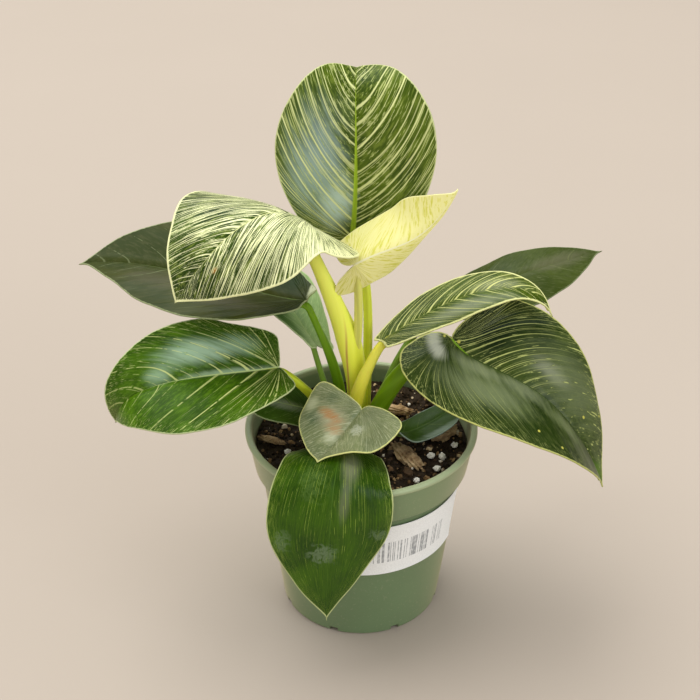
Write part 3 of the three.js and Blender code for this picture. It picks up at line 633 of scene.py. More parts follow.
class Leaf:
    """The surface of one leaf: its outline, its veins, and how it is bent in space. Millimetres."""

    lift = (0, 0)

    def __init__(self, form, look):
        self.__dict__.update(form)
        self.steep, self.slant, self.rounding = look["steep"], look["slant"], look["rounding"]
        self.curve = EvenCurve(self.midrib)
        self.length = self.curve.length
        self.margins = [self.outline(k) for k in (0, 1)]

    def of_half(self, key, k):
        value = getattr(self, key)
        return value[k] if isinstance(value, (tuple, list)) else value

    def outline(self, k):
        """The margin of a half in even steps from the sinus to the tip: along the midrib, and aside."""
        half, lobe, wide, full, shoulder = (
            self.of_half(key, k) for key in ("half", "lobe", "wide", "full", "shoulder"))
        length, beyond = self.length, 1 - wide
        knots = np.array([
            (-0.3 * lobe, 0.03 * half),
            (-0.75 * lobe, 0.15 * half),
            (-lobe, 0.55 * shoulder * half),
            (-0.42 * lobe, shoulder * half),
            (wide * length, half),
            ((wide + beyond * 0.42) * length, full * half),
            ((wide + beyond * 0.74) * length, (0.5 * full + 0.02) * half),
            (0.955 * length, 0.07 * half),
            (length, 0),
        ])
        padded = np.vstack([knots[:1], knots, knots[-1:]])
        points = []
        for i in range(len(knots) - 1):
            p0, p1, p2, p3 = padded[i:i + 4]
            t = np.linspace(0, 1, KNOT_STEPS, endpoint=False)[:, None]
            bend = (2 * p0 - 5 * p1 + 4 * p2 - p3) * t ** 2 + (3 * p1 - p0 - 3 * p2 + p3) * t ** 3
            points.append(0.5 * (2 * p1 + (p2 - p0) * t + bend))
        points = np.vstack([*points, knots[-1:]])
        run = run_of(points)
        even = np.linspace(0, run[-1], MARGIN_STEPS + 1)
        points = np.column_stack([np.interp(even, run, points[:, i]) for i in (0, 1)])
        for _ in range(self.rounding):
            soften(points[:BASE_STEPS + 1])
        return points, run[-1]

    def margin(self, k, v):
        points = self.margins[k][0]
        shares = np.linspace(0, 1, len(points))
        return np.interp(v, shares, points[:, 0]), np.interp(v, shares, points[:, 1])

    def flat(self, right, v, share):
        """Where a point lies on the flat blade: a share of the way out on the vein that ends at v."""
        ends = [self.margin(k, v + self.slant[k] * np.sin(np.pi * v)) for k in (0, 1)]
        start = np.maximum(0, (ends[0][0] + ends[1][0]) / 2 - self.steep * (ends[0][1] + ends[1][1]) / 2)
        a = np.where(right, ends[1][0], ends[0][0])
        b = np.where(right, ends[1][1], ends[0][1])
        bend = start + 0.36 * (a - start)
        out = 1 - share
        return (out ** 2 * start + 2 * out * share * bend + share ** 2 * a,
                2 * out * share * 0.6 * b + share ** 2 * b)

    def frame(self, a):
        """The midrib's place at a distance along it, and the three directions of the blade there."""
        share = np.clip(a / self.length, 0, 1)
        at, along = self.curve.read(share)
        at = at + along * np.minimum(a, 0)[:, None]
        start, end = (np.asarray(f, float) for f in self.face)
        face = start + (end - start) * share[:, None]
        up = unit(face - along * np.sum(face * along, axis=1, keepdims=True))
        return at, along, up, np.cross(along, up)

    def bent(self, right, a, b, relief):
        """The point of the bent blade over a point of the flat one."""
        pick = {key: np.where(right, self.of_half(key, 1), self.of_half(key, 0)).astype(float)
                for key in ("half", "fold", "curl", "lift")}
        rise = np.radians(pick["fold"])
        turn = np.radians(pick["curl"]) / pick["half"]
        out = (np.sin(rise) - np.sin(rise - turn * b)) / turn
        up = (np.cos(rise - turn * b) - np.cos(rise)) / turn
        up = up - np.minimum(a, 0) * np.tan(np.radians(pick["lift"])) + relief
        at, _, upward, side = self.frame(a)
        return at + side * np.where(right, out, -out)[:, None] + upward * up[:, None]


def distance_to(points, line):
    """The distance from each point to a line of short stretches, in the plane."""
    starts, ways = line[:-1], np.diff(line, axis=0)
    sizes = np.maximum(np.sum(ways ** 2, axis=1), 1e-12)
    best = np.full(len(points), 1e9)
    for start, way, size in zip(starts, ways, sizes):
        gap = points - start
        share = np.clip(gap @ way / size, 0, 1)
        best = np.minimum(best, np.linalg.norm(gap - share[:, None] * way, axis=1))
    return best


def blade(name, leaf, seed, settings):
    """The blade as one bent sheet, with the fields that its markings are drawn from."""
    rows = int(np.clip(max(m[1] for m in leaf.margins) / (settings.cell / MM), *ROWS))
    columns = 2 * int(np.clip(max(leaf.half) / 1.6 + 6, *HALF_COLUMNS))
    obj, x, v = grid(name, columns, rows)
    right = x > 0.5
    across = np.abs(2 * x - 1)
    rim = 1 - 2 / columns
    share = np.where(across > rim + 1e-6, 1.0, WITHIN * (across / rim) ** 1.25)
    a, b = leaf.flat(right, v, share)

    rib = np.hypot(b, np.minimum(a, 0))
    along = np.clip(a / leaf.length, 0, 1)
    phase = seed * 1.7 + 2.1 * right
    veins = SWELLINGS * v + 0.5 * np.sin(7 * v + phase)
    swell = np.sin(2 * np.pi * veins) + 0.4 * np.sin(2 * np.pi * 2.3 * veins + 1)
    swell = swell * np.clip(rib / 5, 0, 1) * (1 - 0.6 * share) * (1 - along ** 3)
    wave = np.sin(2 * np.pi * WAVES * v + phase) + 0.5 * np.sin(2 * np.pi * 5.3 * v + 2 * phase)
    wave = wave * share ** 3 * np.sin(np.pi * np.clip(v, 0, 1)) ** 0.6 * np.clip((v - 0.08) / 0.2, 0, 1) ** 2
    groove = np.exp(-(rib / 0.9) ** 2) * (1 - 0.8 * along) - 0.35 * np.exp(-((rib - 2.6) / 1.8) ** 2)
    size = max(leaf.half) / FULL_SIZE
    relief = (settings.vein_relief * swell * min(size, 1) + settings.margin_wave * wave * min(size, 1)
              - settings.midrib_groove * groove * (0.4 + 0.6 * size)) / MM
    set_points(obj, leaf.bent(right, a, b, relief) * MM)

    edge = np.empty(len(a))
    for k in (0, 1):
        of_half = right == bool(k)
        line = np.vstack([[0, 0], leaf.margins[k][0]])
        edge[of_half] = distance_to(np.column_stack([a, b])[of_half], line)
    set_field(obj, "rib_mm", rib)
    set_field(obj, "edge_mm", edge)
    set_field(obj, "along", along)
    left_reach, right_reach = (np.interp(a, *leaf.margins[k][0][LOBE_STEPS:].T) for k in (0, 1))
    reach = np.where(right, right_reach, left_reach)
    set_field(obj, "lane", np.clip(b / np.maximum(reach, 0.5), 0, 1))
    weld(obj)
    return obj


def stalk(name, leaf, sides=22, steps=46, rib_steps=34):
    """The stalk, and the rib that runs on under the blade to its tip, as one closed tube."""
    top = leaf.girth[-1]
    start = leaf.frame(np.zeros(1))
    joint = start[0][0] - start[2][0] * 0.85 * top * DEEP
    curve = EvenCurve([*leaf.stalk, joint])
    shares = np.linspace(0, 1, steps + 1)
    path = curve.read(shares)[0]
    halves = np.interp(shares, np.linspace(0, 1, len(leaf.girth)), leaf.girth)

    rib_shares = np.linspace(0, 1, rib_steps + 1)[1:]
    rib_halves = top + (RIB_TIP - top) * rib_shares ** 0.75
    at, _, up, _ = leaf.frame(rib_shares * 0.96 * leaf.length)
    path = np.vstack([path, at - up * (0.98 * rib_halves * DEEP + 0.35)[:, None]])
    halves = np.concatenate([halves, rib_halves])
    for _ in range(5):
        soften(path[steps - 6:steps + 5])
        soften(halves)

    ways = unit(np.gradient(path, axis=0))
    wide = np.cross(ways[0], (0, -1, 0))
    frames = []
    for way in ways:
        wide = wide - way * (wide @ way)
        wide = wide / np.linalg.norm(wide)
        frames.append((wide, np.cross(way, wide)))
    inner = np.array([*CROWN_AT, 0]) - path[0]
    shares = np.linspace(0, 1, len(path))[:, None]
    inward = unit(inner * [1, 1, 0])
    inward = inward * (1 - np.clip(2 * shares, 0, 1)) + start[2][0] * np.clip(2 * shares, 0, 1)

    ends = [0.0, *halves, 0.0]
    path = np.vstack([path[:1], path, path[-1:]])
    inward = np.vstack([inward[:1], inward, inward[-1:]])
    frames = [frames[0], *frames, frames[-1]]
    rows = len(path) - 1
    obj, x, y = grid(name + "_stalk", sides, rows)
    row = np.rint(y * rows).astype(int)
    wides, deeps = np.array(frames)[row].transpose(1, 0, 2)
    toward = np.arctan2(np.sum(inward[row] * deeps, axis=1) / DEEP, np.sum(inward[row] * wides, axis=1))
    turn = toward + 2 * np.pi * (x - 0.5)
    half = np.array(ends)[row]
    hollow = 1 - CHANNEL * np.exp(-((x - 0.5) / 0.085) ** 2) * (row < steps)
    across = (half * hollow * np.cos(turn))[:, None] * wides
    set_points(obj, (path[row] + across + (half * hollow * DEEP * np.sin(turn))[:, None] * deeps) * MM)
    set_field(obj, "along", np.clip((row - 1) / steps, 0, 1))
    weld(obj, outward=True)
    return obj


# ---- Leaves: markings ----


DOT_COLOUR = hue("b3ae4a")


def blade_upper(name, look, seed, length):
    """The upper side: mottled green, soft patches (mostly painted sheen, some painted shade), cream lines and
    flecks along the veins, the midrib and a pale margin.
    """
    b = Board(name + "_upper", Coat_Weight=0.03, Coat_Roughness=0.3, Specular_IOR_Level=0.2)
    u, v, _ = b.uv()
    across = b.math("ABSOLUTE", b.line(u, 2.0, -1.0))
    side = b.math("GREATER_THAN", u, 0.5)
    rib, edge, along = b.field("rib_mm"), b.field("edge_mm"), b.field("along")
    aside = b.times(rib, b.line(side, 2.0, -1.0))
    layer = b.line(side, 17.0, seed * 3.7)
    if look["lanes"]:
        v, across = b.line(along, -0.3, b.field("lane")), along
    left, right, tip = look["lean"]
    lean = b.line(side, right - left, b.line(along, tip, left))
    fade_from, fade_to, rest = look["fading"]
    kept_on = b.fade(along, fade_from, fade_to, 1.0, rest)
    clouds = b.grain(55.0, 3.0)
    bare_left, bare_right = look["bare"]
    bare = b.line(side, bare_right - bare_left, bare_left)
    outer = b.math("SUBTRACT", 1.0, b.times(bare, b.fade(across, 0.4, 0.75, 1.0, 0.0)))

    def vein_noise(count, run, shift, detail=2.0, rough=0.55):
        place = b.place(b.times(v, count), b.times(across, run), b.add(layer, shift))
        return b.noise(place, detail=detail, rough=rough)

    def vein_lines(count, width, kept, broken, shift):
        """Lines along the veins, each with its own width, place and strength, and more broken further out."""
        wander = vein_noise(count * 0.3, 0.7, shift, detail=1.0)
        phase = b.line(wander, 1.2, b.times(v, count))
        cell = b.add(b.math("FLOOR", phase), b.line(side, 57.0, seed + shift))
        centre = b.line(b.chance(b.add(cell, 0.2)), 0.44, 0.28)
        off = b.gap(b.math("FRACT", phase), centre)
        ragged = b.add(vein_noise(count * 3.0, 9.0, shift + 1), 0.5)
        reach = b.times(b.line(b.chance(b.add(cell, 0.6)), width, width * 0.6), ragged)
        reach = b.times(b.times(reach, b.fade(across, 0.0, 1.0, 1.1, 0.8)), b.add(lean, 1.0))
        reach = b.times(reach, b.fade(along, 0.0, 0.4, look["fan"], 1.0))
        sharp = b.node("MapRange", off, b.times(reach, 0.5), b.times(reach, 1.25), 1.0, 0.0,
                       interpolation_type="SMOOTHSTEP").outputs[0]
        there = b.times(b.math("LESS_THAN", b.chance(b.add(cell, 0.9)), kept),
                        b.line(b.chance(b.add(cell, 0.4)), 0.4, 0.6))
        gap = b.line(across, 0.26 * broken, 0.2 + 0.12 * broken)
        whole = b.fade(vein_noise(count * 2.0, 12.0, shift + 2), gap, b.add(gap, 0.07))
        return b.times(b.times(b.times(sharp, there), b.times(whole, kept_on)), outer)

    def patch(at, out, long, wide, strength, swirled=0):
        """A soft patch at a place along the blade and to one side of the midrib."""
        x = b.line(along, length / long, -at * length / long)
        y = b.line(aside, 1 / wide, -out / wide)
        far = b.math("SQRT", b.line(x, x, b.times(y, y)))
        if not swirled:
            streaks = vein_noise(60.0, 2.0, 40.0)
            far = b.line(b.math("SUBTRACT", streaks, 0.5), 0.8, far)
            return b.fade(far, 0.15, 1.05, strength, 0.0)
        swirl = b.grain(330.0, 2.0, warp=1.2)
        rings = b.math("PINGPONG", b.times(swirl, 3.0), 0.5)
        far = b.line(b.math("SUBTRACT", swirl, 0.5), 2.4, far)
        return b.times(b.fade(far, 0.45, 1.0, strength, 0.0), b.fade(rings, 0.1, 0.45, 0.45, 1.0))

    deep, green, pale, cream = (look[key] for key in TONES[:4])
    colour = b.mix(b.fade(clouds, 0.35, 0.68), deep, green)
    colour = b.mix(b.times(b.fade(vein_noise(120.0, 9.0, 1.0), 0.45, 0.68), 0.5), colour, pale)
    colour = b.mix(b.times(b.fade(vein_noise(90.0, 6.0, 4.0), 0.5, 0.66), 0.55), colour, deep)
    # Patches: mostly painted sheen and painted highlights, some painted shade. The rest are the leaf's own
    # blotches and dried water marks.
    for at, out, long, wide, tint, strength, *swirled in look["patches"]:
        colour = b.mix(patch(at, out, long, wide, strength, *swirled), colour, hue(tint))

    fine, run, cover = look["flecks"]
    bias = b.line(b.math("SUBTRACT", clouds, 0.5), 0.16, b.times(lean, 0.2))
    fleck_at = b.add(vein_noise(fine, run, 13.0, detail=3.0, rough=0.6), bias)
    level = 0.5 + 0.42 * (0.5 - cover)
    soft = 1 - look["crisp"]
    colour = b.mix(b.fade(fleck_at, level - 0.09 * soft, level + 0.01, 0.0, 0.5), colour, pale)
    colour = b.mix(b.fade(fleck_at, level, level + 0.05 * soft, 0.0, look["fleck_tone"]), colour, cream)

    count, width, kept, broken = look["lines"]
    faint = vein_lines(count * 2.7, width * 1.2, kept * 0.6, broken + 0.3, 31.0)
    colour = b.mix(b.times(faint, 0.6), colour, cream)
    colour = b.mix(vein_lines(count, width, kept, broken, 3.0), colour, cream)

    if "dots" in look:
        cells = b.node("TexVoronoi", b.object_place(), None, look["dots"][0])
        near = b.fade(cells.outputs["Distance"], 0.05, 0.09, 1.0, 0.0)
        chosen = b.math("LESS_THAN", b.split(cells.outputs["Color"])[0], look["dots"][1])
        colour = b.mix(b.times(near, chosen), colour, DOT_COLOUR)
    if "speckle" in look:
        grains = b.fade(vein_noise(300.0, 26.0, 50.0, detail=1.0), 0.58, 0.64, 0.0, look["speckle"])
        colour = b.mix(b.times(grains, b.fade(edge, 1.0, 7.0, 1.0, 0.12)), colour, cream)

    wide = look["rib_width"]
    thin = b.fade(along, 0.0, 0.8, 1.0, look["rib_end"])
    on_rib = b.fade(b.math("DIVIDE", rib, thin), 0.3 * wide, 0.6 * wide, 1.0, 0.0)
    colour = b.mix(b.times(on_rib, b.fade(along, 0.55, 1.0, 1.0, 0.15)), colour, look["rib"])
    ragged = b.line(vein_noise(90.0, 4.0, 21.0), 0.9, edge)
    rim = look["edge_width"]
    colour = b.mix(b.fade(ragged, 0.62 * rim, 0.95 * rim, 0.9, 0.0), colour, look["edge"])

    grain = b.grain(900.0, 2.0)
    ribs = vein_noise(150.0, 1.5, 30.0, detail=1.0)
    height = b.add(b.times(ribs, 0.7), b.times(grain, 0.25))
    rough = b.fade(b.grain(120.0, 3.0), 0.3, 0.75, 0.32, 0.46)
    return b.finish(colour, rough, b.bump(height, 0.3, 0.1 * MM))


def blade_under(name, look, seed):
    """The lower side: paler and duller, with the veins faintly raised."""
    b = Board(name + "_under", Specular_IOR_Level=0.35)
    u, v, _ = b.uv()
    across = b.math("ABSOLUTE", b.line(u, 2.0, -1.0))
    place = b.place(b.times(v, 44.0), b.times(across, 2.0), seed * 2.3)
    veins = b.noise(place, detail=3.0, rough=0.6)
    colour = b.mix(b.fade(veins, 0.35, 0.65), scaled(look["under"], 0.72), look["under"])
    colour = b.mix(b.times(b.fade(veins, 0.6, 0.7), look["flecks"][2]), colour, look["cream"])
    colour = b.mix(b.fade(b.field("edge_mm"), 0.3, 0.8, 0.8, 0.0), colour, look["edge"])
    rough = b.fade(veins, 0.3, 0.7, 0.5, 0.62)
    return b.finish(colour, rough, b.bump(veins, 0.3, 0.15 * MM))


def stalk_skin(name, look, seed):
    """The stalk: a smooth skin, lighter towards the blade, with its channel painted a deeper green as shade.
    """
    b = Board(name + "_stalk", Specular_IOR_Level=0.3, Coat_Weight=0.05, Coat_Roughness=0.3,
              Subsurface_Weight=0.15, Subsurface_Radius=(0.6 * MM, 0.9 * MM, 0.2 * MM), Subsurface_Scale=1.0)
    u, v, _ = b.uv()
    foot, top = look["foot"], look["top"]
    along = b.field("along")
    streaks = b.noise(b.place(b.times(u, 16.0), b.times(v, 2.5), float(seed)), detail=3.0)
    colour = b.mix(b.fade(along, 0.0, 0.9), foot, top)
    colour = b.mix(b.fade(streaks, 0.4, 0.75, 0.0, 0.35), colour, scaled(top, 1.35))
    channel = b.gap(u, 0.5)
    # Painted shade: the channel along the stalk's upper side is darkened.
    colour = b.mix(b.fade(channel, 0.02, 0.10, 0.35, 0.0), colour, scaled(foot, 0.6))
    if "sheath" in look:
        margin = b.gap(channel, 0.19)
        red = b.times(b.fade(margin, 0.004, 0.024, 1.0, 0.0), b.fade(along, 0.35, 0.6, 1.0, 0.0))
        colour = b.mix(b.times(red, 0.7), colour, hue(look["sheath"]))
    if "ring" in look:
        at, tint = look["ring"]
        near = b.gap(along, at)
        colour = b.mix(b.fade(near, 0.01, 0.045, 0.8, 0.0), colour, hue(tint))
    rough = b.fade(streaks, 0.3, 0.7, 0.34, 0.46)
    return b.finish(colour, rough, b.bump(streaks, 0.25, 0.2 * MM))


# ---- Pieces ----


def build_leaf(name, settings):
    look = {**PLAIN, **MARKINGS[name]}
    look.update(zip(TONES, map(hue, look["tones"].split())))
    seed = 1 + list(LEAVES).index(name)
    leaf = Leaf(LEAVES[name], look)
    sheet = blade(name + "_fine", leaf, seed, settings)
    coat(sheet, blade_upper(name, look, seed, leaf.length), blade_under(name, look, seed))
    modify(sheet, "SOLIDIFY", thickness=settings.thickness, offset=0.0, material_offset=1,
           use_rim=True, use_quality_normals=True)
    stem = stalk(name, leaf)
    coat(stem, stalk_skin(name, look, seed))
    piece = join(sheet, stem)
    smooth(piece)
    settle(piece, look["slot"], name)


def turned(name, profile, facets):
    """A shape of revolution: a disc's rim, extruded and scaled through the profile, then closed."""
    (first_radius, first_height), *others = profile
    obj = primitive("circle", name, vertices=facets, radius=first_radius * MM, fill_type="TRIFAN",
                    location=(0, 0, first_height * MM))
    bpy.ops.object.transform_apply(location=True, rotation=True, scale=True)
    bpy.ops.object.mode_set(mode="EDIT")
    bpy.ops.mesh.select_mode(type="EDGE")
    bpy.ops.mesh.select_all(action="SELECT")
    bpy.ops.mesh.region_to_loop()
    radius, height = first_radius, first_height
    for next_radius, next_height in others:
        bpy.ops.mesh.extrude_edges_move(
            TRANSFORM_OT_translate={"value": (0, 0, (next_height - height) * MM)})
        scale = max(next_radius, 0.001) / radius
        bpy.ops.transform.resize(value=(scale, scale, 1), center_override=(0, 0, next_height * MM))
        radius, height = max(next_radius, 0.001), next_height
    bpy.ops.mesh.merge(type="CENTER")
    bpy.ops.mesh.select_mode(type="VERT")
    bpy.ops.object.mode_set(mode="OBJECT")
    weld(obj, 0.005 * MM, outward=True)
    return obj


def rounded(profile, corners, radius, steps=4):
    """The profile with some of its corners, by their index, rounded by short arcs."""
    points = [np.array(p, float) for p in profile]
    made = []
    for i, corner in enumerate(points):
        if i not in corners:
            made.append(corner)
            continue
        before, after = unit(points[i - 1] - corner), unit(points[i + 1] - corner)
        r = min(radius, *(0.45 * np.linalg.norm(points[k] - corner) for k in (i - 1, i + 1)))
        start, end = corner + before * r, corner + after * r
        for t in np.linspace(0, 1, steps + 1):
            made.append((1 - t) ** 2 * start + 2 * t * (1 - t) * corner + t ** 2 * end)
    return [tuple(p) for p in made]


# The pot's section, in millimetres: radius and height, from under the foot up the outside and down inside.
POT_PROFILE = [
    (36.2, 0), (37, 0.8), (45.9, 74.5), (48.6, 75.1), (51.3, 91.2), (52.5, 91.8), (52.5, 93.1), (51.8, 93.8),
    (50.1, 93.8), (49.5, 93.2), (47.2, 76.5), (44.5, 73), (35.8, 1.6),
]
# Which of its corners are rounded, and how far.
ROUNDED, ROUNDING = range(2, 12), 0.6
# The radius of the foot, the radius and height of the body's upper end, and where the band and the lip start.
FOOT_RADIUS, BODY_TOP, BAND_FOOT, LIP_FOOT = 37, (45.9, 74.5), 75, 91.5
# The drain notches: how many, the first one's turn in degrees, and the block that cuts them.
NOTCHES, FIRST_NOTCH, NOTCH_SIZE = 8, 25, (4, 5, 5.2)
# The label's edges, the turns of its ends in degrees, its distance from the pot and its thickness, and how
# many columns and rows it has.
LABEL = dict(low=41, high=70, start=-6, end=70, lift=0.45, thick=0.22)
LABEL_CELLS = (64, 10)
# Its bars: how many steps, which share of them is inked, and the part of the label that has them.
BARS, INK_SHARE, PRINT_ACROSS, PRINT_UP = 150, 0.48, (0.16, 0.8), (0.24, 0.66)


def body_radius(z):
    """The radius of the pot's tapered body at a height."""
    return FOOT_RADIUS + (BODY_TOP[0] - FOOT_RADIUS) / BODY_TOP[1] * z


def plastic(settings):
    """Smooth plastic, a little scuffed, with a lighter band, faint dust, and the lip painted lighter still as
    a highlight.
    """
    b = Board("nursery_plastic", Specular_IOR_Level=0.35, Coat_Weight=0.05, Coat_Roughness=0.25,
              Sheen_Weight=0.45, Sheen_Roughness=0.4, Sheen_Tint=(1.0, 0.8, 0.5))
    z = b.split(b.object_place())[2]
    clouds = b.grain(24.0, 4.0)
    specks = b.grain(900.0, 1.0)
    base = tuple(settings.plastic)
    colour = b.mix(b.fade(clouds, 0.3, 0.7), scaled(base, 0.93), scaled(base, 1.05))
    # The band above the ledge is drawn lighter. The lip is lighter still, a painted highlight where light
    # falls on it.
    for foot, soft, share, code in (BAND_FOOT, 1.5, 0.45, "86966e"), (LIP_FOOT, 1, 0.5, "bcc49c"):
        above = b.fade(z, (foot - soft) * MM, (foot + soft) * MM, 0.0, share)
        colour = b.mix(above, colour, hue(code))
    colour = b.mix(b.fade(specks, 0.64, 0.7, 0.0, 0.22), colour, hue("a09c82"))
    rough = b.fade(clouds, 0.3, 0.75, 0.36, 0.48)
    return b.finish(colour, rough, b.bump(specks, 0.08, 0.1 * MM))


def build_pot(settings):
    pot = turned("pot_fine", rounded(POT_PROFILE, ROUNDED, ROUNDING), settings.facets)
    cutters = []
    for i in range(NOTCHES):
        turn = math.radians(FIRST_NOTCH) + 2 * math.pi * i / NOTCHES
        place = Vector((math.sin(turn), -math.cos(turn), 0)) * FOOT_RADIUS * MM
        cutters.append(primitive("cube", f"notch_{i}", size=1, location=place, rotation=(0, 0, turn),
                                 scale=Vector(NOTCH_SIZE) * MM))
    cutter = join(*cutters)
    modify(pot, "BOOLEAN", operation="DIFFERENCE", object=cutter, solver="EXACT")
    bpy.data.objects.remove(cutter)
    pot.data.materials.clear()
    coat(pot, plastic(settings))
    smooth(pot, 32)
    settle(pot, "pot_plastic", "pot")


def paper(settings):
    """White paper with a block of plain grey bars, which encode nothing."""
    b = Board("label_paper", Specular_IOR_Level=0.3)
    u, v, _ = b.uv()
    ink = b.math("GREATER_THAN", b.chance(b.math("FLOOR", b.times(u, BARS))), 1 - INK_SHARE)
    for value, (start, end) in ((u, PRINT_ACROSS), (v, PRINT_UP)):
        ink = b.times(ink, b.times(b.math("GREATER_THAN", value, start), b.math("LESS_THAN", value, end)))
    worn = b.noise(b.place(b.times(u, 60.0), b.times(v, 12.0), 0.0), detail=2.0)
    fibres = b.grain(1600.0, 3.0)
    white = tuple(settings.paper)
    colour = b.mix(b.fade(fibres, 0.3, 0.7), scaled(white, 0.9), white)
    colour = b.mix(b.times(ink, b.fade(worn, 0.3, 0.6, 0.3, 0.75)), colour, hue("6f7276"))
    return b.finish(colour, 0.55, b.bump(fibres, 0.2, 0.05 * MM))


def build_label(settings):
    obj, x, y = grid("label_fine", *LABEL_CELLS)
    turn = np.radians(LABEL["start"] + (LABEL["end"] - LABEL["start"]) * x)
    z = LABEL["low"] + (LABEL["high"] - LABEL["low"]) * y
    curl = 0.25 * (np.abs(2 * y - 1) ** 8 + np.abs(2 * x - 1) ** 20)
    r = body_radius(z) + LABEL["lift"] + 0.08 * np.sin(9 * x + 3 * y) + curl
    set_points(obj, np.column_stack([r * np.sin(turn), -r * np.cos(turn), z]) * MM)
    coat(obj, paper(settings))
    modify(obj, "SOLIDIFY", thickness=LABEL["thick"] * MM, offset=0.0)
    smooth(obj, 40)
    settle(obj, "label_paper", "label")


# In millimetres: the soil's mean height and its waves' height, the radius of the solid's top, of the finer
# one and of the area with crumbs, and the farthest that a crumb may reach.
SOIL_HEIGHT, SOIL_WAVES = 85, 0.9
SOLID_RADIUS, FINE_RADIUS, CRUMBS_RADIUS, WALL_RADIUS = 47.8, 47.6, 47.0, 48.0
# The cells of the soil's top along each side of its grid.
SOIL_CELLS = 150
# Each ring under the fine top: its radius as a share of the one before, and how far below it lies.
SKIRT = (0.984, -8.2), (0.925, -3.5), (0.78, -71.0)
# How many shapes the crumbs have, and which share of the crumbs is dark.
LUMPS, DARK_SHARE = 8, 0.74


def soil_height(x, y):
    """The soil's height in millimetres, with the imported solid's crossing waves."""
    waves = np.sin(0.31 * x + 1.3) * np.cos(0.27 * y) + 0.6 * np.sin(0.73 * x - 0.52 * y)
    waves = waves + 0.4 * np.cos(1.1 * y + 0.6 * x)
    near = np.clip((SOLID_RADIUS - np.hypot(x, y)) / 5, 0.25, 1)
    return SOIL_HEIGHT + SOIL_WAVES * waves * near


def humus(name, settings):
    b = Board(name, Specular_IOR_Level=0.25)
    tone = b.field("tone")
    grit = b.grain(700.0, 4.0, rough=0.65)
    base = tuple(settings.humus)
    level = b.line(grit, 0.3, b.math("SUBTRACT", tone, 0.15))
    colour = b.ramp(level, (0.0, scaled(base, 0.35)), (0.35, base), (0.6, hue("6e5238")),
                    (0.78, hue("a3845a")), (0.9, hue("cdb489")), (1.0, hue("f0ece0")))
    return b.finish(colour, b.fade(grit, 0.3, 0.7, 0.7, 0.95), b.bump(grit, 0.8, 0.5 * MM))


def build_soil(settings):
    obj, x, y = grid("soil_fine", SOIL_CELLS, SOIL_CELLS)
    square = np.column_stack([2 * x - 1, 2 * y - 1])
    largest = np.abs(square).max(axis=1)
    length = np.maximum(np.hypot(*square.T), 1e-9)
    disc = square * (largest / length)[:, None] * FINE_RADIUS
    lumps = np.array([noise.fractal(Vector((px * 0.55, py * 0.55, 3.0)), 0.7, 2.2, 4) for px, py in disc])
    height = soil_height(*disc.T) + 0.75 * lumps * (largest < 0.99)
    set_points(obj, np.column_stack([disc, height]) * MM)

    def skirt():
        bpy.ops.mesh.select_mode(type="EDGE")
        bpy.ops.mesh.region_to_loop()
        for scale, drop in SKIRT:
            bpy.ops.mesh.extrude_edges_move(TRANSFORM_OT_translate={"value": (0, 0, drop * MM)})
            bpy.ops.transform.resize(value=(scale, scale, 1), center_override=(0, 0, 0))
        bpy.ops.mesh.edge_face_add()
        bpy.ops.mesh.select_mode(type="VERT")

    edit(obj, skirt)
    weld(obj, outward=True)
    set_field(obj, "tone", np.full(len(obj.data.vertices), 0.28))
    coat(obj, humus("damp_soil", settings))
    smooth(obj)
    settle(obj, "soil", "soil")


def lump(seed, rough=0.28):
    """The twenty faces of a crumb, a little out of shape: its points and its triangles."""
    obj = primitive("ico_sphere", "lump", subdivisions=1, radius=1)
    rng = np.random.default_rng(seed)
    points = points_of(obj) * (1 + rough * rng.uniform(-1, 1, (12, 1))) * rng.uniform(0.65, 1.1, 3)
    faces = np.array([tuple(face.vertices) for face in obj.data.polygons])
    bpy.data.objects.remove(obj)
    return points, faces


def scatter(name, places, sizes, tones, seed):
    """Many crumbs as one mesh, each turned its own way, with its tone stored for the material."""
    rng = np.random.default_rng(seed)
    shapes = [lump(seed + i) for i in range(LUMPS)]
    points, faces, tone, count = [], [], [], 0
    for place, size, shade in zip(places, sizes, tones):
        shape, tris = shapes[rng.integers(len(shapes))]
        turn = np.linalg.qr(rng.normal(size=(3, 3)))[0]
        turn = turn * np.sign(np.linalg.det(turn))
        points.append((shape * size) @ turn.T + place)
        faces.append(tris + count)
        tone.append(np.full(len(shape), shade))
        count += len(shape)
    mesh = bpy.data.meshes.new(name)
    mesh.from_pydata((np.vstack(points) * MM).tolist(), [], np.vstack(faces).tolist())
    obj = bpy.data.objects.new(name, mesh)
    bpy.context.scene.collection.objects.link(obj)
    set_field(obj, "tone", np.concatenate(tone))
    return obj


def build_crumbs(settings):
    rng = np.random.default_rng(settings.seed)
    count = settings.crumbs
    r = CRUMBS_RADIUS * np.sqrt(rng.uniform(0, 1, count))
    turn = rng.uniform(0, 2 * np.pi, count)
    x, y = r * np.cos(turn), r * np.sin(turn)
    size = rng.lognormal(-0.35, 0.45, count).clip(0.35, 2.4)
    shrink = np.minimum(1, (WALL_RADIUS - size) / np.maximum(r, 1e-6))
    x, y = x * shrink, y * shrink
    z = soil_height(x, y) + 0.35 * size
    tone = np.where(rng.uniform(0, 1, count) < DARK_SHARE,
                    rng.uniform(0.05, 0.5, count), rng.uniform(0.55, 1.0, count))
    sizes = size[:, None] * rng.uniform(0.7, 1.2, (count, 3))
    crumbs = scatter("soil_crumbs", np.column_stack([x, y, z]), sizes, tone, settings.seed)
    coat(crumbs, humus("crumbs", settings))
    settle(crumbs, "soil")


def bark(name):
    b = Board(name, Specular_IOR_Level=0.25)
    fibre = b.grain(420.0, 5.0, rough=0.7, warp=0.6)
    clouds = b.grain(160.0, 3.0)
    colour = b.ramp(b.line(fibre, 0.6, b.times(clouds, 0.4)), (0.3, hue("5e4936")),
                    (0.45, hue("9a7d5a")), (0.58, hue("c0a67e")), (0.75, hue("dccaa6")))
    return b.finish(colour, 0.85, b.bump(fibre, 0.9, 0.6 * MM))


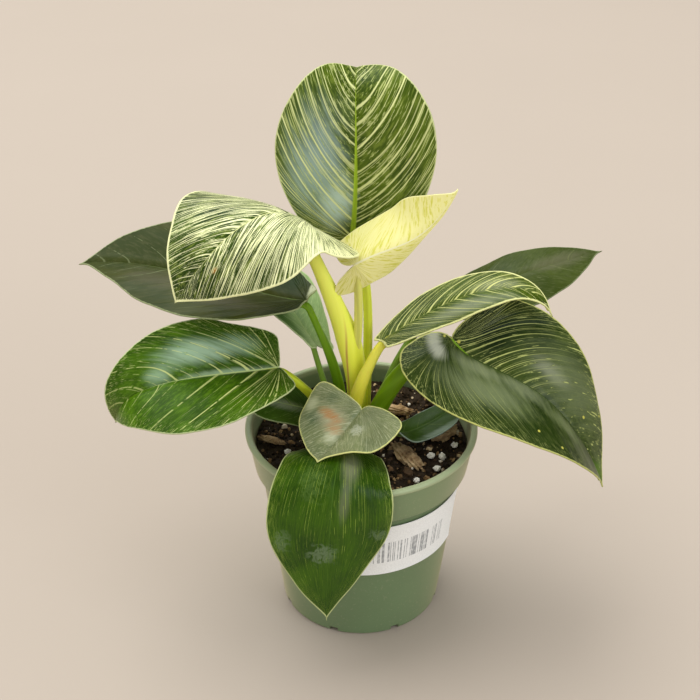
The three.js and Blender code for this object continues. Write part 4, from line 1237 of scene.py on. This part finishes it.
def straw(name):
    b = Board(name, Specular_IOR_Level=0.35)
    fibre = b.grain(300.0, 4.0, warp=1.0)
    colour = b.ramp(fibre, (0.3, hue("8a6a45")), (0.5, hue("b8966a")), (0.75, hue("dcc79c")))
    return b.finish(colour, 0.6, b.bump(fibre, 0.6, 0.4 * MM))


def perlite(name):
    b = Board(name, Specular_IOR_Level=0.3)
    grain = b.grain(900.0, 4.0)
    colour = b.ramp(grain, (0.3, hue("cfc9b8")), (0.5, hue("efebdf")), (0.7, hue("fbf8f0")))
    return b.finish(colour, 0.8, b.bump(grain, 0.6, 0.3 * MM))


# The splits of a loose bit's sphere, and the pitch and depth of its lumps.
GRAINY, FIBROUS = (4, 1.3, 0.42), (5, 2.6, 0.15)


def build_bits():
    makers = {"bark": bark, "dry_sheath": straw, "perlite": perlite}
    made = {slot: maker(slot + "_finish") for slot, maker in makers.items()}
    for name, bit in BITS.items():
        slot = next(key for key in makers if name.startswith(key))
        splits, pitch, depth = GRAINY if slot == "perlite" else FIBROUS
        obj = primitive("ico_sphere", name + "_fine", subdivisions=splits, radius=1)
        p = points_of(obj)
        size = np.array(bit["size"], float)
        knobs = np.sin(5 * p[:, 0] + 9 * p[:, 1] + size[0]) * np.cos(7 * p[:, 2] + 4 * p[:, 1] + size[1])
        fine = np.array([noise.fractal(Vector(q * pitch) + Vector((size[0] * 7, bit["turn"], 0)), 0.8, 2.1, 4)
                         for q in p])
        p = p * (1 + bit["rough"] * knobs + depth * fine)[:, None] * size
        turn = math.radians(bit["turn"])
        cos, sin = math.cos(turn), math.sin(turn)
        spin = np.array([[cos, -sin, 0], [sin, cos, 0], [0, 0, 1]])
        set_points(obj, (p @ spin.T + bit["at"]) * MM)
        coat(obj, made[slot])
        smooth(obj, 55)
        settle(obj, slot, name)


# The crown's outline, in millimetres: radius and height, from its foot in the soil to its top.
CROWN_PROFILE = [
    (4, 62), (6.5, 70), (8.8, 82), (9.6, 86), (10.2, 88), (10.3, 90), (9.9, 92), (9.3, 94), (8.2, 96),
    (6.5, 97.4), (3.5, 98.4), (0, 98.8),
]


def build_crown():
    obj = turned("crown_fine", CROWN_PROFILE, facets=48)
    modify(obj, "SUBSURF", levels=2, render_levels=2)
    p = points_of(obj) / MM
    turn = np.arctan2(p[:, 1], p[:, 0])
    scars = 0.35 * np.abs(np.sin(p[:, 2] * 1.4 + 1.5 * np.sin(turn))) ** 6
    lumps = 0.35 * np.sin(3 * turn + 0.3 * p[:, 2]) + 0.2 * np.sin(7 * turn)
    outward = p * [1, 1, 0] / np.maximum(np.hypot(p[:, 0], p[:, 1]), 1)[:, None]
    p = p + outward * (lumps - scars)[:, None]
    set_points(obj, (p + [*CROWN_AT, 0]) * MM)
    b = Board("crown_skin", Specular_IOR_Level=0.4)
    mottle = b.grain(260.0, 4.0)
    colour = b.ramp(mottle, (0.32, hue("5a4a26")), (0.5, hue("8a8038")), (0.68, hue("a3a04a")))
    coat(obj, b.finish(colour, 0.6, b.bump(mottle, 0.6, 0.5 * MM)))
    smooth(obj)
    settle(obj, "crown", "crown")


# ---- Stage ----


# Each window's place, what it faces, its size, its power and its colour.
WINDOWS = {
    "window_high": ((-0.5, 0.9, 1.2), (0, 0, 0.15), (1.3, 0.9), 6, (0.95, 0.98, 1.0)),
    "window_right": ((1.0, -0.8, 0.8), (0, 0, 0.18), (0.6, 0.9), 5, (0.84, 0.93, 1.0)),
}
# The sun's turn and spread are in degrees.
SUN = dict(strength=2.0, turn=(-14, -20), spread=50)
SKY = dict(Color=(1.0, 0.985, 0.96, 1), Strength=0.92)
FLOOR_SIZE, SENSOR_WIDTH = 60, 36


def area_light(name, place, aim, size, power, colour):
    bpy.ops.object.light_add(type="AREA", location=place)
    light = bpy.context.object
    light.name = name
    light.data.shape = "RECTANGLE"
    light.data.size, light.data.size_y = size
    light.data.energy = power
    light.data.color = colour
    light.rotation_euler = (Vector(aim) - Vector(place)).to_track_quat("-Z", "Y").to_euler()


def build_stage(settings):
    middle = Vector(settings.middle)
    back = Vector((0, -math.cos(settings.tilt), math.sin(settings.tilt)))
    bpy.ops.object.camera_add(location=middle + back * settings.distance,
                              rotation=(math.pi / 2 - settings.tilt, 0, 0))
    camera = bpy.context.object
    camera.data.lens = settings.lens
    camera.data.sensor_width = SENSOR_WIDTH
    camera.data.clip_end = 100
    bpy.context.scene.camera = camera

    floor = primitive("plane", "floor", size=FLOOR_SIZE)
    b = Board("floor_finish", Specular_IOR_Level=0.2)
    grain = b.grain(6.0, 4.0)
    base = tuple(settings.floor)
    coat(floor, b.finish(b.mix(grain, scaled(base, 0.96), base), 0.8))

    bpy.ops.object.light_add(type="SUN", rotation=(*map(math.radians, SUN["turn"]), 0))
    sun = bpy.context.object
    sun.visible_glossy = False
    sun.data.energy = SUN["strength"]
    sun.data.angle = math.radians(SUN["spread"])
    for name, window in WINDOWS.items():
        area_light(name, *window)
    world = bpy.data.worlds.new("room")
    bpy.context.scene.world = world
    world.use_nodes = True
    for key, value in SKY.items():
        world.node_tree.nodes["Background"].inputs[key].default_value = value
    world.cycles_visibility.glossy = False
    bpy.context.scene.view_settings.view_transform = "Standard"


# ---- Operators ----


class BIRKIN_OT_stage(bpy.types.Operator):
    """Sets up the camera, the floor and the light"""

    bl_idname = "birkin.stage"
    bl_label = "Stage"

    def execute(self, context):
        build_stage(context.scene.birkin_stage)
        return {"FINISHED"}


class BIRKIN_OT_pot(bpy.types.Operator):
    """Builds the nursery pot and its paper label"""

    bl_idname = "birkin.pot"
    bl_label = "Pot and Label"

    def execute(self, context):
        build_pot(context.scene.birkin_pot)
        build_label(context.scene.birkin_pot)
        return {"FINISHED"}


class BIRKIN_OT_soil(bpy.types.Operator):
    """Builds the potting mix, its crumbs, and the bark and perlite on it"""

    bl_idname = "birkin.soil"
    bl_label = "Soil"

    def execute(self, context):
        build_soil(context.scene.birkin_soil)
        build_crumbs(context.scene.birkin_soil)
        build_bits()
        return {"FINISHED"}


class BIRKIN_OT_crown(bpy.types.Operator):
    """Builds the short stem that the leaves grow from"""

    bl_idname = "birkin.crown"
    bl_label = "Crown"

    def execute(self, context):
        build_crown()
        return {"FINISHED"}


class BIRKIN_OT_leaf(bpy.types.Operator):
    """Builds one leaf, with its stalk, veins and markings"""

    bl_idname = "birkin.leaf"
    bl_label = "Leaf"

    leaf: bpy.props.EnumProperty(
        name="Leaf", description="Which leaf to build",
        items=[(name, name.replace("_", " ").capitalize(), "") for name in LEAVES])

    def execute(self, context):
        build_leaf(self.leaf, context.scene.birkin_leaves)
        return {"FINISHED"}


class BIRKIN_PT_panel(bpy.types.Panel):
    """Lists the steps that build the plant"""

    bl_idname = "BIRKIN_PT_panel"
    bl_label = "Potted Birkin"
    bl_space_type = "VIEW_3D"
    bl_region_type = "UI"
    bl_category = "Birkin"

    def draw(self, context):
        for step in STEPS:
            self.layout.operator(step.bl_idname)
        for group in SETTINGS:
            for key in SETTINGS[group].__annotations__:
                self.layout.prop(getattr(context.scene, group), key)


SETTINGS = {
    "birkin_leaves": BirkinLeafSettings,
    "birkin_pot": BirkinPotSettings,
    "birkin_soil": BirkinSoilSettings,
    "birkin_stage": BirkinStageSettings,
}
STEPS = (BIRKIN_OT_stage, BIRKIN_OT_pot, BIRKIN_OT_soil, BIRKIN_OT_crown, BIRKIN_OT_leaf)
CLASSES = (*SETTINGS.values(), *STEPS, BIRKIN_PT_panel)


def register():
    for cls in CLASSES:
        bpy.utils.register_class(cls)
    for name, group in SETTINGS.items():
        setattr(bpy.types.Scene, name, bpy.props.PointerProperty(type=group))


def unregister():
    for name in SETTINGS:
        delattr(bpy.types.Scene, name)
    for cls in reversed(CLASSES):
        bpy.utils.unregister_class(cls)


def main():
    register()
    bpy.ops.birkin.stage()
    bpy.ops.birkin.pot()
    bpy.ops.birkin.soil()
    bpy.ops.birkin.crown()
    for name in LEAVES:
        bpy.ops.birkin.leaf(leaf=name)


if __name__ == "__main__":
    main()
